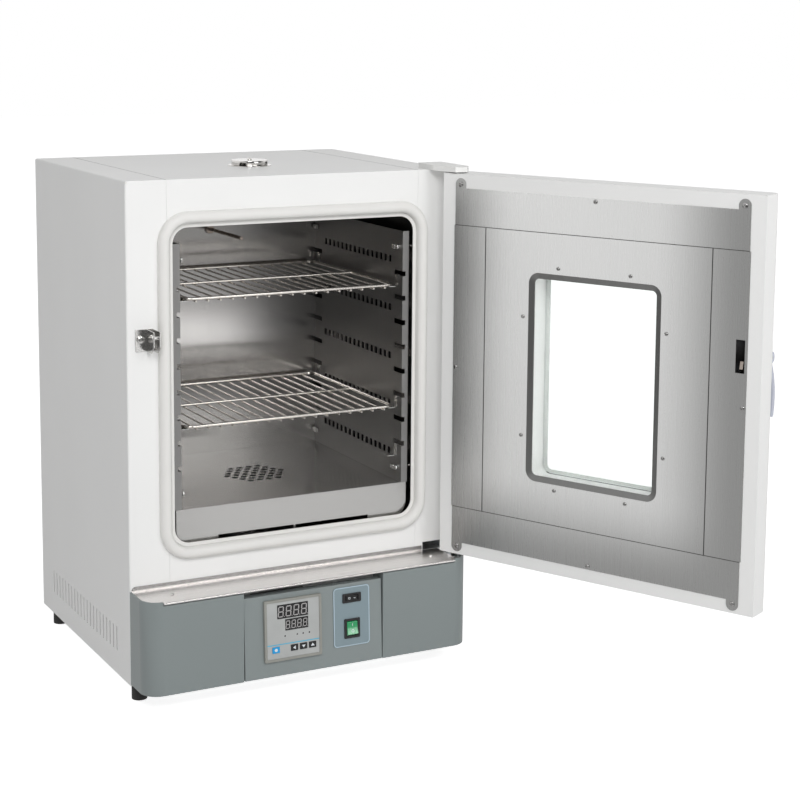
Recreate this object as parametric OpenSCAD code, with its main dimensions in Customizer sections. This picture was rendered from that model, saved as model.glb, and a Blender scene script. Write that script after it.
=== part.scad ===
// Bench hot air sterilizer: insulated cabinet with a stainless chamber, a hinged
// window door, two wire shelves and a tilt-out control panel in the plinth.
// Millimetres. X runs to the right, Y to the back, Z up. The origin is on the
// floor, in the middle of the four feet. The door stands open as built here.

/* [Cabinet] */
// Width of the cabinet
body_w = 550; // [530:1:600]
// Depth of the cabinet, front face to back
body_d = 440; // [430:1:520]
// Height of the cabinet above its bottom edge
body_h = 766; // [760:1:840]
// Height of the rubber feet
foot_h = 30; // [24:1:40]
// Radius of a foot
foot_r = 12; // [10:0.5:15]
// Distance of a foot's centre from the side of the cabinet
foot_inset_x = 22; // [20:1:40]
// Distance of a foot's centre from the front and the back
foot_inset_y = 24; // [20:1:40]
// Radius of the stud that holds a foot
stud_r = 4; // [3:0.5:5]
// Thickness of the painted sheets
sheet_t = 1.5; // [1.2:0.1:2]
// Outside radius of the bends in the painted sheets
bend_r = 3; // [2.5:0.5:5]
// Thickness of the insulated side walls, from the cabinet's side to the chamber
side_wall = 67; // [64:1:74]
// Thickness of the insulated roof, from the chamber to the cabinet's top
roof_wall = 66; // [60:1:74]
// Depth behind the chamber, to the cabinet's back
back_wall = 110; // [90:1:120]
// Width of the front frame's web between the chamber's mouth and a side shell
mouth_web = 3; // [2.5:0.5:5]
// Width of the back and bottom returns of a side shell
return_w = 14; // [10:1:16]

/* [Side louvres] */
// Number of louvre slots in a side
louvre_count = 21; // [10:1:24]
// Distance from slot to slot
louvre_pitch = 15.8; // [12:0.1:17]
// Width of a slot
louvre_w = 4.6; // [3:0.1:6]
// Height of a slot
louvre_h = 38; // [25:1:50]
// Height of the slots' lower ends above the cabinet's bottom edge
louvre_z = 37; // [30:1:50]

/* [Chamber] */
// Height of the chamber's bottom above the door's lower edge
sill_h = 50; // [48:1:56]
// Thickness of the insulation under the chamber
deck_drop = 48; // [40:1:54]
// Corner radius of the chamber
chamber_r = 30; // [24:1:34]
// Thickness of the stainless sheets
steel_t = 1.2; // [1:0.1:1.5]
// Width of the flange round the chamber's mouth
mouth_flange = 16; // [12:1:18]
// Width of the gasket
gasket_w = 18; // [16:0.5:20]
// Depth of the gasket's flat foot
gasket_foot = 3.6; // [3:0.1:4.5]
// Level of the perforated floor above the chamber's bottom
floor_rise = 56; // [52:1:62]
// Pitch of the holes in the floor
hole_pitch = 16; // [14:0.5:18]
// Radius of a hole in the floor
hole_r = 5.5; // [4:0.25:6.5]
// Rings of holes round the middle one
hole_rings = 3; // [2:1:3]
// Length of the slot at the foot of the floor's apron
apron_slot_w = 256; // [200:2:280]
// Height of that slot
apron_slot_h = 6; // [4:0.5:7]

/* [Air ducts] */
// Width of the air duct behind a duct panel
duct_w = 20; // [16:1:24]
// Gap between a duct panel's top and the chamber's ceiling
duct_gap_top = 31; // [26:1:40]
// Width of the front flange of a duct panel
duct_flange = 11; // [8:1:14]
// Air slots in a row
air_count = 16; // [10:1:16]
// Rows of air slots
air_rows = 5; // [4:1:5]
// Distance from a duct panel's edges to its first and last air slots
air_margin = 43.25; // [38:0.25:50]
// Width of an air slot
air_w = 9; // [6:0.5:11]
// Height of an air slot
air_h = 11; // [8:0.5:13]
// Shelf notches in a column
notch_count = 8; // [6:1:8]
// Height of the lowest notch above the chamber's bottom
notch_low = 119.9; // [112:0.1:130]
// Depth of the top notch below the chamber's ceiling
notch_drop = 99; // [94:1:110]
// Height of a shelf notch
notch_h = 8; // [6:0.5:9]
// Length of a shelf notch
notch_l = 28; // [22:1:30]
// Radius of the shank of a thumb screw
thumb_r = 2.5; // [2:0.25:3]

/* [Shelves] */
// Gap between a shelf and a duct panel
shelf_gap = 7.5; // [6:0.5:9]
// Gap between a shelf and the chamber's back
shelf_back_gap = 9.5; // [8:0.5:14]
// Radius of the frame wire
frame_wire_r = 2.5; // [2:0.25:3]
// Radius of the grid wire
grid_wire_r = 1.5; // [1:0.25:2]
// Number of grid wires
grid_count = 17; // [11:2:17]
// Distance from the side rails to the outermost grid wires
grid_margin = 18; // [16:0.5:24]
// Corner radius of the shelf frame
shelf_corner = 14; // [10:1:18]
// Notch that carries the upper shelf, counted from the top
upper_notch = 0; // [0:1:2]
// Notch that carries the lower shelf, counted from the top
lower_notch = 5; // [4:1:6]
// Drop from a notch to the shelf that hangs there
clip_drop = 18; // [16:0.5:20]
// Width of a shelf clip
clip_w = 10; // [8:1:12]

/* [Door] */
// How far the cabinet's sides stand past the door
door_side_gap = 2; // [1:0.5:4]
// Thickness of the door
door_t = 50; // [46:1:56]
// Gap between the cabinet's front face and the door's flat back
door_gap = 14; // [14:0.5:16]
// Gap between the door and the hinge bracket above it
door_top_gap = 2; // [1:0.5:3]
// Gap between the plinth's rim and the door
door_low_gap = 8.5; // [8:0.5:12]
// Radius of the door's outer vertical edges
door_edge_r = 20; // [12:1:22]
// Width of the rim that is left round the liner
rim_w = 22; // [20:1:26]
// How far the rim runs on under the liner
rim_lap = 8; // [6:1:12]
// Thickness of the door's liner sheets
liner_t = 1; // [0.8:0.1:1.2]
// Width of the liner's side strips
strip_w = 58; // [54:1:64]
// Height of the liner's top and bottom strips
strip_h = 57.5; // [50:0.5:60]
// Gap between two liner sheets
seam = 0.8; // [0.4:0.1:1.2]
// Radius of the liner's corner ears
ear_r = 9.5; // [8:0.5:10]
// How far the middle of an ear stands past the liner's edge
ear_rise = 6; // [4:0.5:8]
// Distance from the door's side edges to the window
window_side = 160; // [150:1:175]
// Distance from the door's upper and lower edges to the window
window_end = 142; // [134:1:155]
// Corner radius of the window
window_r = 17; // [12:1:20]
// Width of the window's trim ring
window_rim = 9; // [7:0.5:11]
// Thickness of the trim ring at its outer edge
trim_t = 3.9; // [3.4:0.1:4.5]
// How much thinner the trim ring is at its inner edge
trim_slope = 2.6; // [1.5:0.1:2.8]
// Thickness of a window pane
glass_t = 4; // [3:0.5:5]
// Gap between the trim ring's edge and the collar that carries the panes
collar_inset = 1; // [0.5:0.1:1.5]
// Radius of the hinge pins
hinge_pin_r = 5; // [4:0.5:5.5]
// Distance of the hinge pins from the door's hinge-side edge
hinge_inset = 11; // [10.5:0.5:13]
// How far the door stands open
door_open = 116.1; // [0:0.1:130]

/* [Latch] */
// Middle of the latch, from the side of the cabinet
latch_inset = 35; // [34:0.5:36]
// Depth of the striker pin below the cabinet's top
striker_drop = 230; // [210:1:260]
// Width of the striker over its ears
striker_w = 11; // [10:0.5:12]
// How far the striker stands out from the cabinet
striker_l = 34; // [32:0.5:36]
// Radius of the striker's cross pin
striker_pin_r = 2.5; // [2:0.25:2.5]
// Width of the slot in the door's liner
latch_slot_w = 14; // [13:0.5:15]
// Height of that slot
latch_slot_h = 48; // [46:1:52]
// Thickness of the latch hook
hook_t = 5; // [4:0.5:5]
// Width of the handle lever
lever_w = 22; // [18:1:26]
// Thickness of the handle lever
lever_t = 8; // [6:0.5:10]
// Length of the handle lever below its pin
lever_l = 90; // [80:1:100]
// Radius of the lever's pin
lever_pin_r = 3; // [2.5:0.25:3.5]
// How far the lever stands pulled out
lever_open = 12; // [0:0.5:12]

/* [Plinth] */
// How far the plinth stands out from the front face
plinth_d = 68; // [66:1:74]
// Height from the tilting panel's top to the plinth's rim
plinth_head = 15.5; // [15:0.5:18]
// Height of its lower edge above the cabinet's bottom edge
plinth_low = 3; // [2:0.5:5]
// Radius of the plinth's corners
plinth_r = 28; // [24:1:34]
// Wall of the plinth moulding
plinth_wall = 2.5; // [2:0.25:3]
// Gap under the tray's front lip
lip_gap = 3.5; // [3:0.5:5]
// Height of the tray's upstand
upstand_h = 8; // [6:0.5:8.5]

/* [Control panel] */
// Width of the tilting panel
panel_w = 233; // [228:1:240]
// Height of the tilting panel
panel_h = 128.5; // [122:0.5:134]
// Depth of the panel's folded edges
panel_fold = 16; // [12:1:18]
// Height of the panel's pivots above its lower edge
pivot_rise = 18.5; // [17:0.5:22]
// How far the closed panel leans back
panel_lean = 2.5; // [0:0.5:4]
// Gap between the panel and the plinth on each side
panel_gap = 1.8; // [1.2:0.1:2.5]
// Side of the square controller bezel
bezel_w = 96; // [90:1:98]
// Height of the bezel's front above the panel
bezel_t = 5; // [4:0.5:6]
// Rim of the bezel round its face
bezel_rim = 4; // [3:0.5:5]
// Depth of the controller's body behind the panel
body_depth = 58; // [50:1:60]
// Width of a key
key_w = 12; // [10:0.5:13]
// Height of a key
key_h = 9.5; // [8:0.5:10]
// Travel of a key
key_travel = 0.8; // [0.5:0.1:0.9]
// Width of the switch plate
plate_w = 63; // [60:1:66]
// Height of the switch plate
plate_h = 95; // [90:1:100]

/* [Air heating] */
// Radius of the impeller
impeller_r = 75; // [60:1:80]
// Number of blades
blade_count = 20; // [12:1:24]
// Height of the blades
blade_h = 24; // [18:1:26]
// Radius of the heater's ring
heater_r = 105; // [98:1:115]
// Radius of the heater's tube
heater_wire_r = 4.25; // [3.5:0.25:5]
// Radius of the motor
motor_r = 45; // [35:1:50]
// Radius of the motor's shaft
shaft_r = 4; // [3:0.5:5]

/* [Vent and probe] */
// Radius of the vent's flange
vent_flange_r = 35; // [32:1:40]
// Radius of the vent's turning cap
vent_cap_r = 29; // [26:1:31]
// Radius of the vent's tube
vent_tube_r = 18; // [14:1:20]
// Length of the temperature probe inside the chamber
probe_l = 139; // [100:1:160]
// Radius of the probe
probe_r = 3; // [2:0.5:4]

/* [Hidden] */
$fn = 48;
// Running clearance on a pin, on the radius
run = 0.05;
// Clearance of a piece that is set in place
fit = 0.3;
// Overlap that makes two shapes one solid
lap = 0.5;
// Reach of a cutter past the face that it cuts
cut = 1;

side_x = body_w / 2;
wrap_w = side_wall - mouth_web;
plinth_top = plinth_low + 0.5 + panel_h + plinth_head;
door_low = plinth_top + door_low_gap;
chamber_z = door_low + sill_h;
chamber_w = body_w - 2 * side_wall;
chamber_h = body_h - chamber_z - roof_wall;
chamber_d = body_d - back_wall;
front_y = -body_d / 2;
back_y = body_d / 2;
base_z = foot_h;
top_z = foot_h + body_h;
foot_x = side_x - foot_inset_x;
foot_y = back_y - foot_inset_y;
foot_seat = foot_h * 0.55;
seam_x = side_x - wrap_w;

mouth_z = base_z + chamber_z;
mouth_mid = mouth_z + chamber_h / 2;
mouth_y = front_y + sheet_t;
chamber_back = front_y + chamber_d;
floor_z = mouth_z + floor_rise;
deck_z = mouth_z - deck_drop;
gasket_t = gasket_foot + gasket_w / 2;
apron_y = front_y + 7;
fan_y = front_y + chamber_d / 2;
vent_y = fan_y + 15;

duct_x = chamber_w / 2 - duct_w;
duct_y = apron_y - 0.5;
duct_top = chamber_h - duct_gap_top;
air_pitch = (chamber_back - duct_y - 2 * air_margin) / (air_count - 1);
notch_top = chamber_h - notch_drop;
notch_pitch = (notch_top - notch_low) / (notch_count - 1);
duct_low = floor_z - 22;
notch_z = mouth_z + notch_top;
air_z = notch_z + notch_pitch / 2;
thumb_top = notch_z + 42;
thumb_low = notch_z - notch_pitch * (notch_count - 1) - 41;
thumb_front = duct_y + 15.5;
thumb_back = chamber_back - 14;
clip_front = duct_y + notch_l / 2;
clip_back = chamber_back - notch_l / 2;
shelf_x = duct_x - shelf_gap - frame_wire_r;
shelf_y0 = front_y + 16;
shelf_y1 = chamber_back - shelf_back_gap - frame_wire_r;
grid_pitch = 2 * (shelf_x - grid_margin) / (grid_count - 1);

door_in = front_y - door_gap;
door_out = door_in - door_t;
door_z0 = base_z + door_low;
door_z1 = top_z - door_top_gap;
door_mid = (door_z0 + door_z1) / 2;
door_x = side_x - door_side_gap;
window_w = 2 * (door_x - window_side);
window_h = door_z1 - door_z0 - 2 * window_end;
hinge_x = door_x - hinge_inset;
hinge_y = door_in - door_t / 2;
liner_x = door_x - rim_w;
liner_z0 = door_z0 + rim_w - 2;
liner_z1 = door_z1 - rim_w;
strip_x = liner_x - strip_w;
strip_z0 = liner_z0 + strip_h;
strip_z1 = liner_z1 - strip_h;
ear_x = door_x - 33;
strip_half = ear_x + ear_r;
bush_r = hinge_pin_r + 4;
bush_h = 16;

latch_x = -side_x + latch_inset;
pin_z = top_z - striker_drop;
pin_y = front_y - striker_l + 7;
slot_mid = pin_z - 3;
lever_y = door_out - 20;
lever_z = pin_z - 13;
lever_arc = 111;
base_plate_t = 6;
cheek_t = 4.5;
cheek_r = 9;
cheek_x = lever_w / 2 + 1;
cavity_w = 28;

plinth_y = front_y - plinth_d;
plinth_z0 = base_z + plinth_low;
plinth_z1 = base_z + plinth_top;
tray_z = plinth_z1 - 1 - sheet_t;
tray_end = hinge_x - 10;
upstand_end = side_x - 52;
cheek_in = panel_w / 2 + panel_gap;

pivot_y = plinth_y + 7;
pivot_z = plinth_z0 + 0.5 + pivot_rise;
pivot_r = 2.5;
face_y = -7;
panel_low = -pivot_rise;
panel_high = panel_h - pivot_rise;
panel_spare = panel_w - bezel_w - plate_w;
bezel_x = (bezel_w - panel_w) / 2 + panel_spare * 31.2 / 74;
bezel_z = panel_high - 8 - bezel_w / 2;
plate_x = (panel_w - plate_w) / 2 - panel_spare * 21 / 74;
plate_z = panel_high - 5 - plate_h / 2;
key_row = bezel_z - 30;
set_key_x = bezel_x - 29.5;
key_step = key_w + 3.3;
up_key_x = bezel_x + 32;
power_z = plate_z - 19;
fan_switch_z = plate_z + 29.5;
rocker_turn = 9;

// Shared shapes

// Sheet that stands across the cabinet: 2D is X and Z, from y0 back to y0 + t
module plate_xz(y0, t) {
  translate([0, y0 + t, 0]) rotate([90, 0, 0]) linear_extrude(t) children();
}

// Sheet that stands along the cabinet: 2D is Y and Z, from x0 on to x0 + t
module plate_yz(x0, t) {
  translate([x0, 0, 0]) rotate([90, 0, 90]) linear_extrude(t) children();
}

// Rectangle with round corners, centred
module rounded(w, h, r) {
  square([w - 2 * r, h], center = true);
  square([w, h - 2 * r], center = true);
  for (x = [-1, 1], z = [-1, 1])
    translate([x * (w / 2 - r), z * (h / 2 - r)]) circle(r);
}

// Sweeps a section round a rectangle with round corners: the section's x runs outward
module sweep_round(w, h, r) {
  rx = w / 2 - r;
  ry = h / 2 - r;
  for (s = [0, 180]) rotate([0, 0, s]) {
    translate([w / 2, ry, 0]) rotate([90, 0, 0]) linear_extrude(2 * ry) children();
    translate([-rx, h / 2, 0]) rotate([90, 0, 90]) linear_extrude(2 * rx) children();
    translate([rx, ry, 0]) rotate_extrude(angle = 90) translate([r, 0]) children();
    translate([-rx, ry, 0]) rotate([0, 0, 90]) rotate_extrude(angle = 90) translate([r, 0]) children();
  }
}

// Box given by two opposite corners
module block(a, b) {
  translate([min(a.x, b.x), min(a.y, b.y), min(a.z, b.z)])
    cube([abs(b.x - a.x), abs(b.y - a.y), abs(b.z - a.z)]);
}

// Quarter of a sheet's bend, with its outside corner at the origin
module bend(t) {
  intersection() {
    translate([bend_r, bend_r]) difference() {
      circle(bend_r);
      circle(bend_r - t);
    }
    square(bend_r);
  }
}

// Frames that carry the moving bodies

module at_door() {
  translate([hinge_x, hinge_y, 0]) rotate([0, 0, door_open])
    translate([-hinge_x, -hinge_y, 0]) children();
}

module at_lever() {
  at_door() translate([0, lever_y, lever_z]) rotate([-lever_open, 0, 0])
    translate([0, -lever_y, -lever_z]) children();
}

module at_panel() {
  translate([0, pivot_y, pivot_z]) rotate([-panel_lean, 0, 0]) children();
}

// Cabinet

module side_shell() {
  louvre_run = louvre_pitch * (louvre_count - 1);
  difference() {
    union() {
      translate([-side_x, front_y, base_z]) linear_extrude(body_h - bend_r) {
        bend(sheet_t);
        translate([bend_r, 0]) square([wrap_w - bend_r, sheet_t]);
        translate([0, bend_r]) square([sheet_t, body_d - bend_r]);
        translate([0, body_d - sheet_t]) square([return_w, sheet_t]);
      }
      translate([-side_x, back_y, top_z]) rotate([90, 0, 0]) linear_extrude(body_d)
        mirror([0, 1]) {
          bend(sheet_t);
          translate([bend_r, 0]) square([wrap_w - bend_r, sheet_t]);
        }
      block([-side_x + bend_r, front_y, top_z - bend_r], [-seam_x, front_y + sheet_t, top_z]);
      block([-side_x, front_y + bend_r, base_z], [-side_x + return_w, back_y, base_z + sheet_t]);
    }
    for (i = [0 : louvre_count - 1])
      translate([-side_x - cut, -louvre_run / 2 + i * louvre_pitch - louvre_w / 2, base_z + louvre_z])
        cube([sheet_t + 2 * cut, louvre_w, louvre_h]);
  }
}

module left_side_shell() color([0.93, 0.93, 0.93]) side_shell();

// The right shell's front has a cut-out beside the lower hinge
module right_side_shell() color([0.93, 0.93, 0.93]) difference() {
  mirror([1, 0, 0]) side_shell();
  block([hinge_x - 37, front_y - cut, tray_z + sheet_t],
        [hinge_x + 3, front_y + sheet_t + cut, door_z0 + 4]);
}

module top_panel() color([0.94, 0.94, 0.94]) {
  half = seam_x - fit;
  difference() {
    block([-half, front_y, top_z - sheet_t], [half, back_y, top_z]);
    translate([0, vent_y, top_z - sheet_t - cut]) cylinder(r = vent_tube_r + fit, h = sheet_t + 2 * cut);
  }
}

module front_frame() color([0.95, 0.95, 0.95]) {
  half = seam_x - fit;
  low = base_z + sheet_t;
  plate_xz(front_y, sheet_t) difference() {
    translate([-half, low]) square([2 * half, top_z - sheet_t - low]);
    translate([0, mouth_mid]) rounded(chamber_w, chamber_h, chamber_r);
    translate([plate_x - 4, base_z + 60]) circle(16);
  }
  block([-half, front_y + sheet_t, low], [half, front_y + 12, low + sheet_t]);
}

module back_panel() color([0.9, 0.9, 0.9]) {
  inner_w = body_w - 2 * sheet_t - 2 * fit;
  grille_end = inlet_x - inlet_w / 2 - 38;
  grille_w = grille_end * 56 / 148;
  grille_step = (2 * grille_end - grille_w) / 3;
  corner = 2 * (bend_r - sheet_t);
  plate_xz(back_y - 2 * sheet_t, sheet_t) difference() {
    translate([-inner_w / 2, base_z + sheet_t]) square([inner_w, body_h - 2 * sheet_t]);
    for (s = [-1, 1]) translate([s * inner_w / 2, top_z - sheet_t]) square(corner, center = true);
    for (k = [0 : 3], i = [0 : 6])
      translate([k * grille_step - grille_end, base_z + 40 + i * 12]) square([grille_w, 5]);
    translate([inlet_x, inlet_z]) square([inlet_w + fit, inlet_h + fit], center = true);
  }
}

module base_pan() color([0.75, 0.76, 0.77]) {
  inner = side_x - sheet_t - fit;
  y0 = front_y + sheet_t + 12;
  y1 = back_y - 2 * sheet_t - fit;
  z0 = base_z + sheet_t;
  difference() {
    union() {
      block([-inner, y0, z0], [inner, y1, z0 + sheet_t]);
      block([-inner, y1 - sheet_t, z0], [inner, y1, z0 + 18]);
      block([-inner, y0, z0], [inner, y0 + sheet_t, z0 + 18]);
    }
    for (x = [-1, 1], y = [-1, 1])
      translate([x * foot_x, y * foot_y, z0 - cut]) cylinder(r = stud_r + run, h = sheet_t + 2 * cut);
    for (x = [-90 : 30 : 90])
      block([x - 4, fan_y - 60, z0 - cut], [x + 4, fan_y + 60, z0 + sheet_t + cut]);
  }
}

module rubber_feet() color([0.16, 0.16, 0.17]) {
  for (x = [-1, 1], y = [-1, 1])
    translate([x * foot_x, y * foot_y, 0]) difference() {
      union() {
        cylinder(r = foot_r, h = foot_h * 0.8);
        cylinder(r = foot_r - 2.5, h = foot_h);
      }
      translate([0, 0, foot_seat]) cylinder(r = stud_r + run, h = foot_h);
    }
}

module foot_studs() color([0.7, 0.7, 0.72]) {
  head_z = base_z + 2 * sheet_t;
  for (x = [-1, 1], y = [-1, 1]) translate([x * foot_x, y * foot_y, 0]) {
    translate([0, 0, foot_seat + fit]) cylinder(r = stud_r, h = head_z + 1 - foot_seat - fit);
    translate([0, 0, head_z]) cylinder(r = stud_r * 1.87, h = 5.5, $fn = 6);
  }
}

// Chamber

module mouth(grow) {
  translate([0, mouth_mid]) rounded(chamber_w + 2 * grow, chamber_h + 2 * grow, chamber_r + grow);
}

module chamber_box() color([0.78, 0.78, 0.77]) {
  difference() {
    union() {
      plate_xz(mouth_y, steel_t) difference() {
        mouth(mouth_flange);
        mouth(0);
      }
      plate_xz(mouth_y, chamber_back - mouth_y) difference() {
        mouth(steel_t);
        mouth(0);
      }
      plate_xz(chamber_back, steel_t) mouth(steel_t);
    }
    translate([0, fan_y, mouth_z - steel_t - cut]) cylinder(r = shaft_r + 2, h = steel_t + 2 * cut);
    for (x = [-1, 1])
      translate([x * heater_leg_x, heater_leg_y, mouth_z - steel_t - cut])
        cylinder(r = heater_wire_r + run, h = steel_t + 2 * cut);
    translate([0, vent_y, mouth_z + chamber_h - cut]) cylinder(r = vent_tube_r + fit, h = steel_t + 2 * cut);
    translate([probe_x, chamber_back - cut, probe_z]) rotate([-90, 0, 0])
      cylinder(r = probe_r + run, h = steel_t + 2 * cut);
  }
}

// Gasket's section: x runs outward from the mouth's edge
module gasket_section() {
  square([gasket_w, gasket_foot]);
  translate([gasket_w / 2, gasket_foot]) intersection() {
    circle(gasket_w / 2);
    translate([-gasket_w, -lap]) square([2 * gasket_w, gasket_w]);
  }
}

module chamber_gasket() color([0.88, 0.88, 0.86])
  translate([0, front_y, mouth_mid]) rotate([90, 0, 0])
    sweep_round(chamber_w, chamber_h, chamber_r) gasket_section();

// Duct panel on the right: 2D is Y and Z
module duct_outline() {
  run_y = air_pitch * (air_count - 1);
  air_mid = (duct_y + chamber_back) / 2;
  difference() {
    translate([duct_y, duct_low]) square([chamber_back - fit - duct_y, mouth_z + duct_top - duct_low]);
    for (r = [0 : air_rows - 1], i = [0 : air_count - 1])
      translate([air_mid - run_y / 2 + i * air_pitch - air_w / 2, air_z - 2 * notch_pitch * r - air_h / 2])
        square([air_w, air_h]);
    for (k = [0 : notch_count - 1]) {
      translate([duct_y - cut, notch_z - k * notch_pitch - notch_h / 2]) square([notch_l + cut, notch_h]);
      translate([chamber_back - notch_l, notch_z - k * notch_pitch - notch_h / 2])
        square([notch_l + cut, notch_h]);
    }
    for (y = [thumb_front, thumb_back], z = [thumb_top, thumb_low])
      translate([y, z]) circle(thumb_r + run);
    translate([duct_y - cut, duct_low - cut])
      square([apron_y + steel_t + fit - duct_y + cut, floor_z + fit - duct_low + cut]);
  }
}

module duct_panel() {
  plate_yz(duct_x, steel_t) duct_outline();
  difference() {
    block([duct_x, duct_y, floor_z + fit], [duct_x + duct_flange, duct_y + steel_t, mouth_z + duct_top]);
    for (k = [0 : notch_count - 1])
      translate([duct_x - cut, duct_y - cut, notch_z - k * notch_pitch - notch_h / 2])
        cube([duct_flange * 0.6, steel_t + 2 * cut, notch_h]);
  }
}

module right_duct_panel() color([0.66, 0.66, 0.65]) duct_panel();

module left_duct_panel() color([0.66, 0.66, 0.65]) mirror([1, 0, 0]) duct_panel();

// Perforated floor over the heater, with its apron in front and four legs below
module chamber_floor() color([0.75, 0.75, 0.74]) {
  half = duct_x - fit;
  apron_half = duct_x + duct_flange - 2;
  difference() {
    union() {
      block([-half, apron_y, floor_z - steel_t], [half, chamber_back - fit, floor_z]);
      plate_xz(apron_y, steel_t) difference() {
        translate([0, mouth_z + 1]) intersection() {
          translate([0, floor_rise]) rounded(2 * apron_half, 2 * floor_rise, chamber_r - 6);
          translate([-apron_half, 0]) square([2 * apron_half, floor_rise - 1]);
        }
        for (x = [-1, 1])
          translate([x * (apron_slot_w / 4 + 1), mouth_z + 4 + apron_slot_h / 2])
            square([apron_slot_w / 2 - 1, apron_slot_h], center = true);
      }
      for (x = [-1, 1], y = [apron_y + 40, chamber_back - 60])
        block([x * (duct_x - 28), y, mouth_z], [x * (duct_x - 28 + steel_t), y + 30, floor_z]);
    }
    translate([0, fan_y, 0]) floor_holes();
  }
}

module floor_holes() {
  for (i = [-hole_rings : hole_rings], j = [-hole_rings : hole_rings])
    if (abs(i + j) <= hole_rings)
      translate([hole_pitch * (i + j / 2), hole_pitch * j * sqrt(3) / 2, floor_z - steel_t - cut])
        cylinder(r = hole_r, h = steel_t + 2 * cut, $fn = 24);
}

// Wing screw that points along +X, its head seated on x = 0
module thumb_screw(l) {
  rotate([0, 90, 0]) cylinder(r = thumb_r, h = l, $fn = 24);
  rotate([0, -90, 0]) cylinder(r = thumb_r + 2, h = 5, $fn = 24);
  for (s = [-1, 1])
    translate([-5.5, s * 5.5, 0]) rotate([s * 14, 0, 0])
      plate_yz(-1, 2) rounded(9, 7.5, 2.5);
}

module thumb_screws() color([0.85, 0.85, 0.85]) {
  for (m = [0, 1], y = [thumb_front, thumb_back], z = [thumb_top, thumb_low])
    mirror([m, 0, 0]) translate([duct_x, y, z]) thumb_screw(chamber_w / 2 - duct_x - fit);
}

// Sheet clip on the right that hooks in a notch and holds a shelf's rail
module shelf_clip(y, z) {
  arm_top = z - clip_drop - frame_wire_r - 0.1;
  rest_z = z - notch_h / 2 + 0.1;
  x1 = duct_x - 0.1;
  x2 = duct_x + steel_t + 0.2;
  block([x1 - steel_t, y - clip_w / 2, arm_top - steel_t], [x1, y + clip_w / 2, rest_z + steel_t]);
  block([x1 - 17, y - clip_w / 2, arm_top - steel_t], [x1, y + clip_w / 2, arm_top]);
  block([x1 - steel_t, y - clip_w / 2, rest_z], [x2 + steel_t, y + clip_w / 2, rest_z + steel_t]);
  block([x2, y - clip_w / 2, rest_z - 8], [x2 + steel_t, y + clip_w / 2, rest_z + steel_t]);
}

module shelf_clips() color([0.8, 0.8, 0.8]) {
  for (m = [0, 1], y = [clip_front + 3, clip_back - 3], k = [upper_notch, lower_notch])
    mirror([m, 0, 0]) shelf_clip(y, notch_z - k * notch_pitch);
  shelf_clip(clip_front + 3, notch_z - (notch_count - 1) * notch_pitch);
}

module shelf_wire(r, l) rotate([-90, 0, 0]) cylinder(r = r, h = l, $fn = 20);

// Wire shelf: a closed frame, a cross bar and the grid welded below it
module shelf(z) {
  x = shelf_x;
  c = shelf_corner;
  mid_y = (shelf_y0 + shelf_y1) / 2;
  grid_z = z - frame_wire_r - grid_wire_r + lap;
  for (s = [-1, 1]) translate([s * x, shelf_y0 + c, z])
    shelf_wire(frame_wire_r, shelf_y1 - shelf_y0 - 2 * c);
  for (y = [shelf_y0, shelf_y1]) translate([-x + c, y, z]) rotate([0, 90, 0])
    cylinder(r = frame_wire_r, h = 2 * (x - c), $fn = 20);
  translate([x - c, shelf_y1 - c, z]) corner_wire();
  translate([-x + c, shelf_y1 - c, z]) rotate([0, 0, 90]) corner_wire();
  translate([-x + c, shelf_y0 + c, z]) rotate([0, 0, 180]) corner_wire();
  translate([x - c, shelf_y0 + c, z]) rotate([0, 0, 270]) corner_wire();
  translate([-x, mid_y, z]) rotate([0, 90, 0])
    cylinder(r = frame_wire_r - 0.5, h = 2 * x, $fn = 20);
  for (i = [0 : grid_count - 1])
    translate([(i - (grid_count - 1) / 2) * grid_pitch, shelf_y0 - 3.5, grid_z])
      shelf_wire(grid_wire_r, shelf_y1 - shelf_y0 + 6);
}

module corner_wire() {
  rotate_extrude(angle = 90) translate([shelf_corner, 0]) circle(frame_wire_r, $fn = 20);
}

module upper_shelf() color([0.86, 0.85, 0.84]) shelf(notch_z - upper_notch * notch_pitch - clip_drop);

module lower_shelf() color([0.86, 0.85, 0.84]) shelf(notch_z - lower_notch * notch_pitch - clip_drop);

probe_x = -9.5;
probe_z = mouth_z + chamber_h - 53;

module temperature_probe() color([0.6, 0.55, 0.5]) {
  translate([probe_x, chamber_back - probe_l, probe_z]) shelf_wire(probe_r, probe_l + 20);
  translate([probe_x, chamber_back - 6, probe_z]) rotate([-90, 0, 0]) cylinder(r = 8, h = 6, $fn = 6);
}

// Air heating below the floor

heater_leg_x = 14;
heater_leg_y = fan_y + sqrt(heater_r * heater_r - heater_leg_x * heater_leg_x);
heater_z = mouth_z + 26;

module heater_element() color([0.45, 0.38, 0.33]) {
  open = 2 * asin(heater_leg_x / heater_r);
  translate([0, fan_y, heater_z]) rotate([0, 0, 90 + open / 2])
    rotate_extrude(angle = 360 - open) translate([heater_r, 0]) circle(heater_wire_r);
  for (x = [-1, 1]) translate([x * heater_leg_x, heater_leg_y, heater_z]) {
    sphere(heater_wire_r + 0.6);
    translate([0, 0, deck_z - 14 - heater_z]) cylinder(r = heater_wire_r, h = heater_z - deck_z + 14);
  }
}

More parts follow.
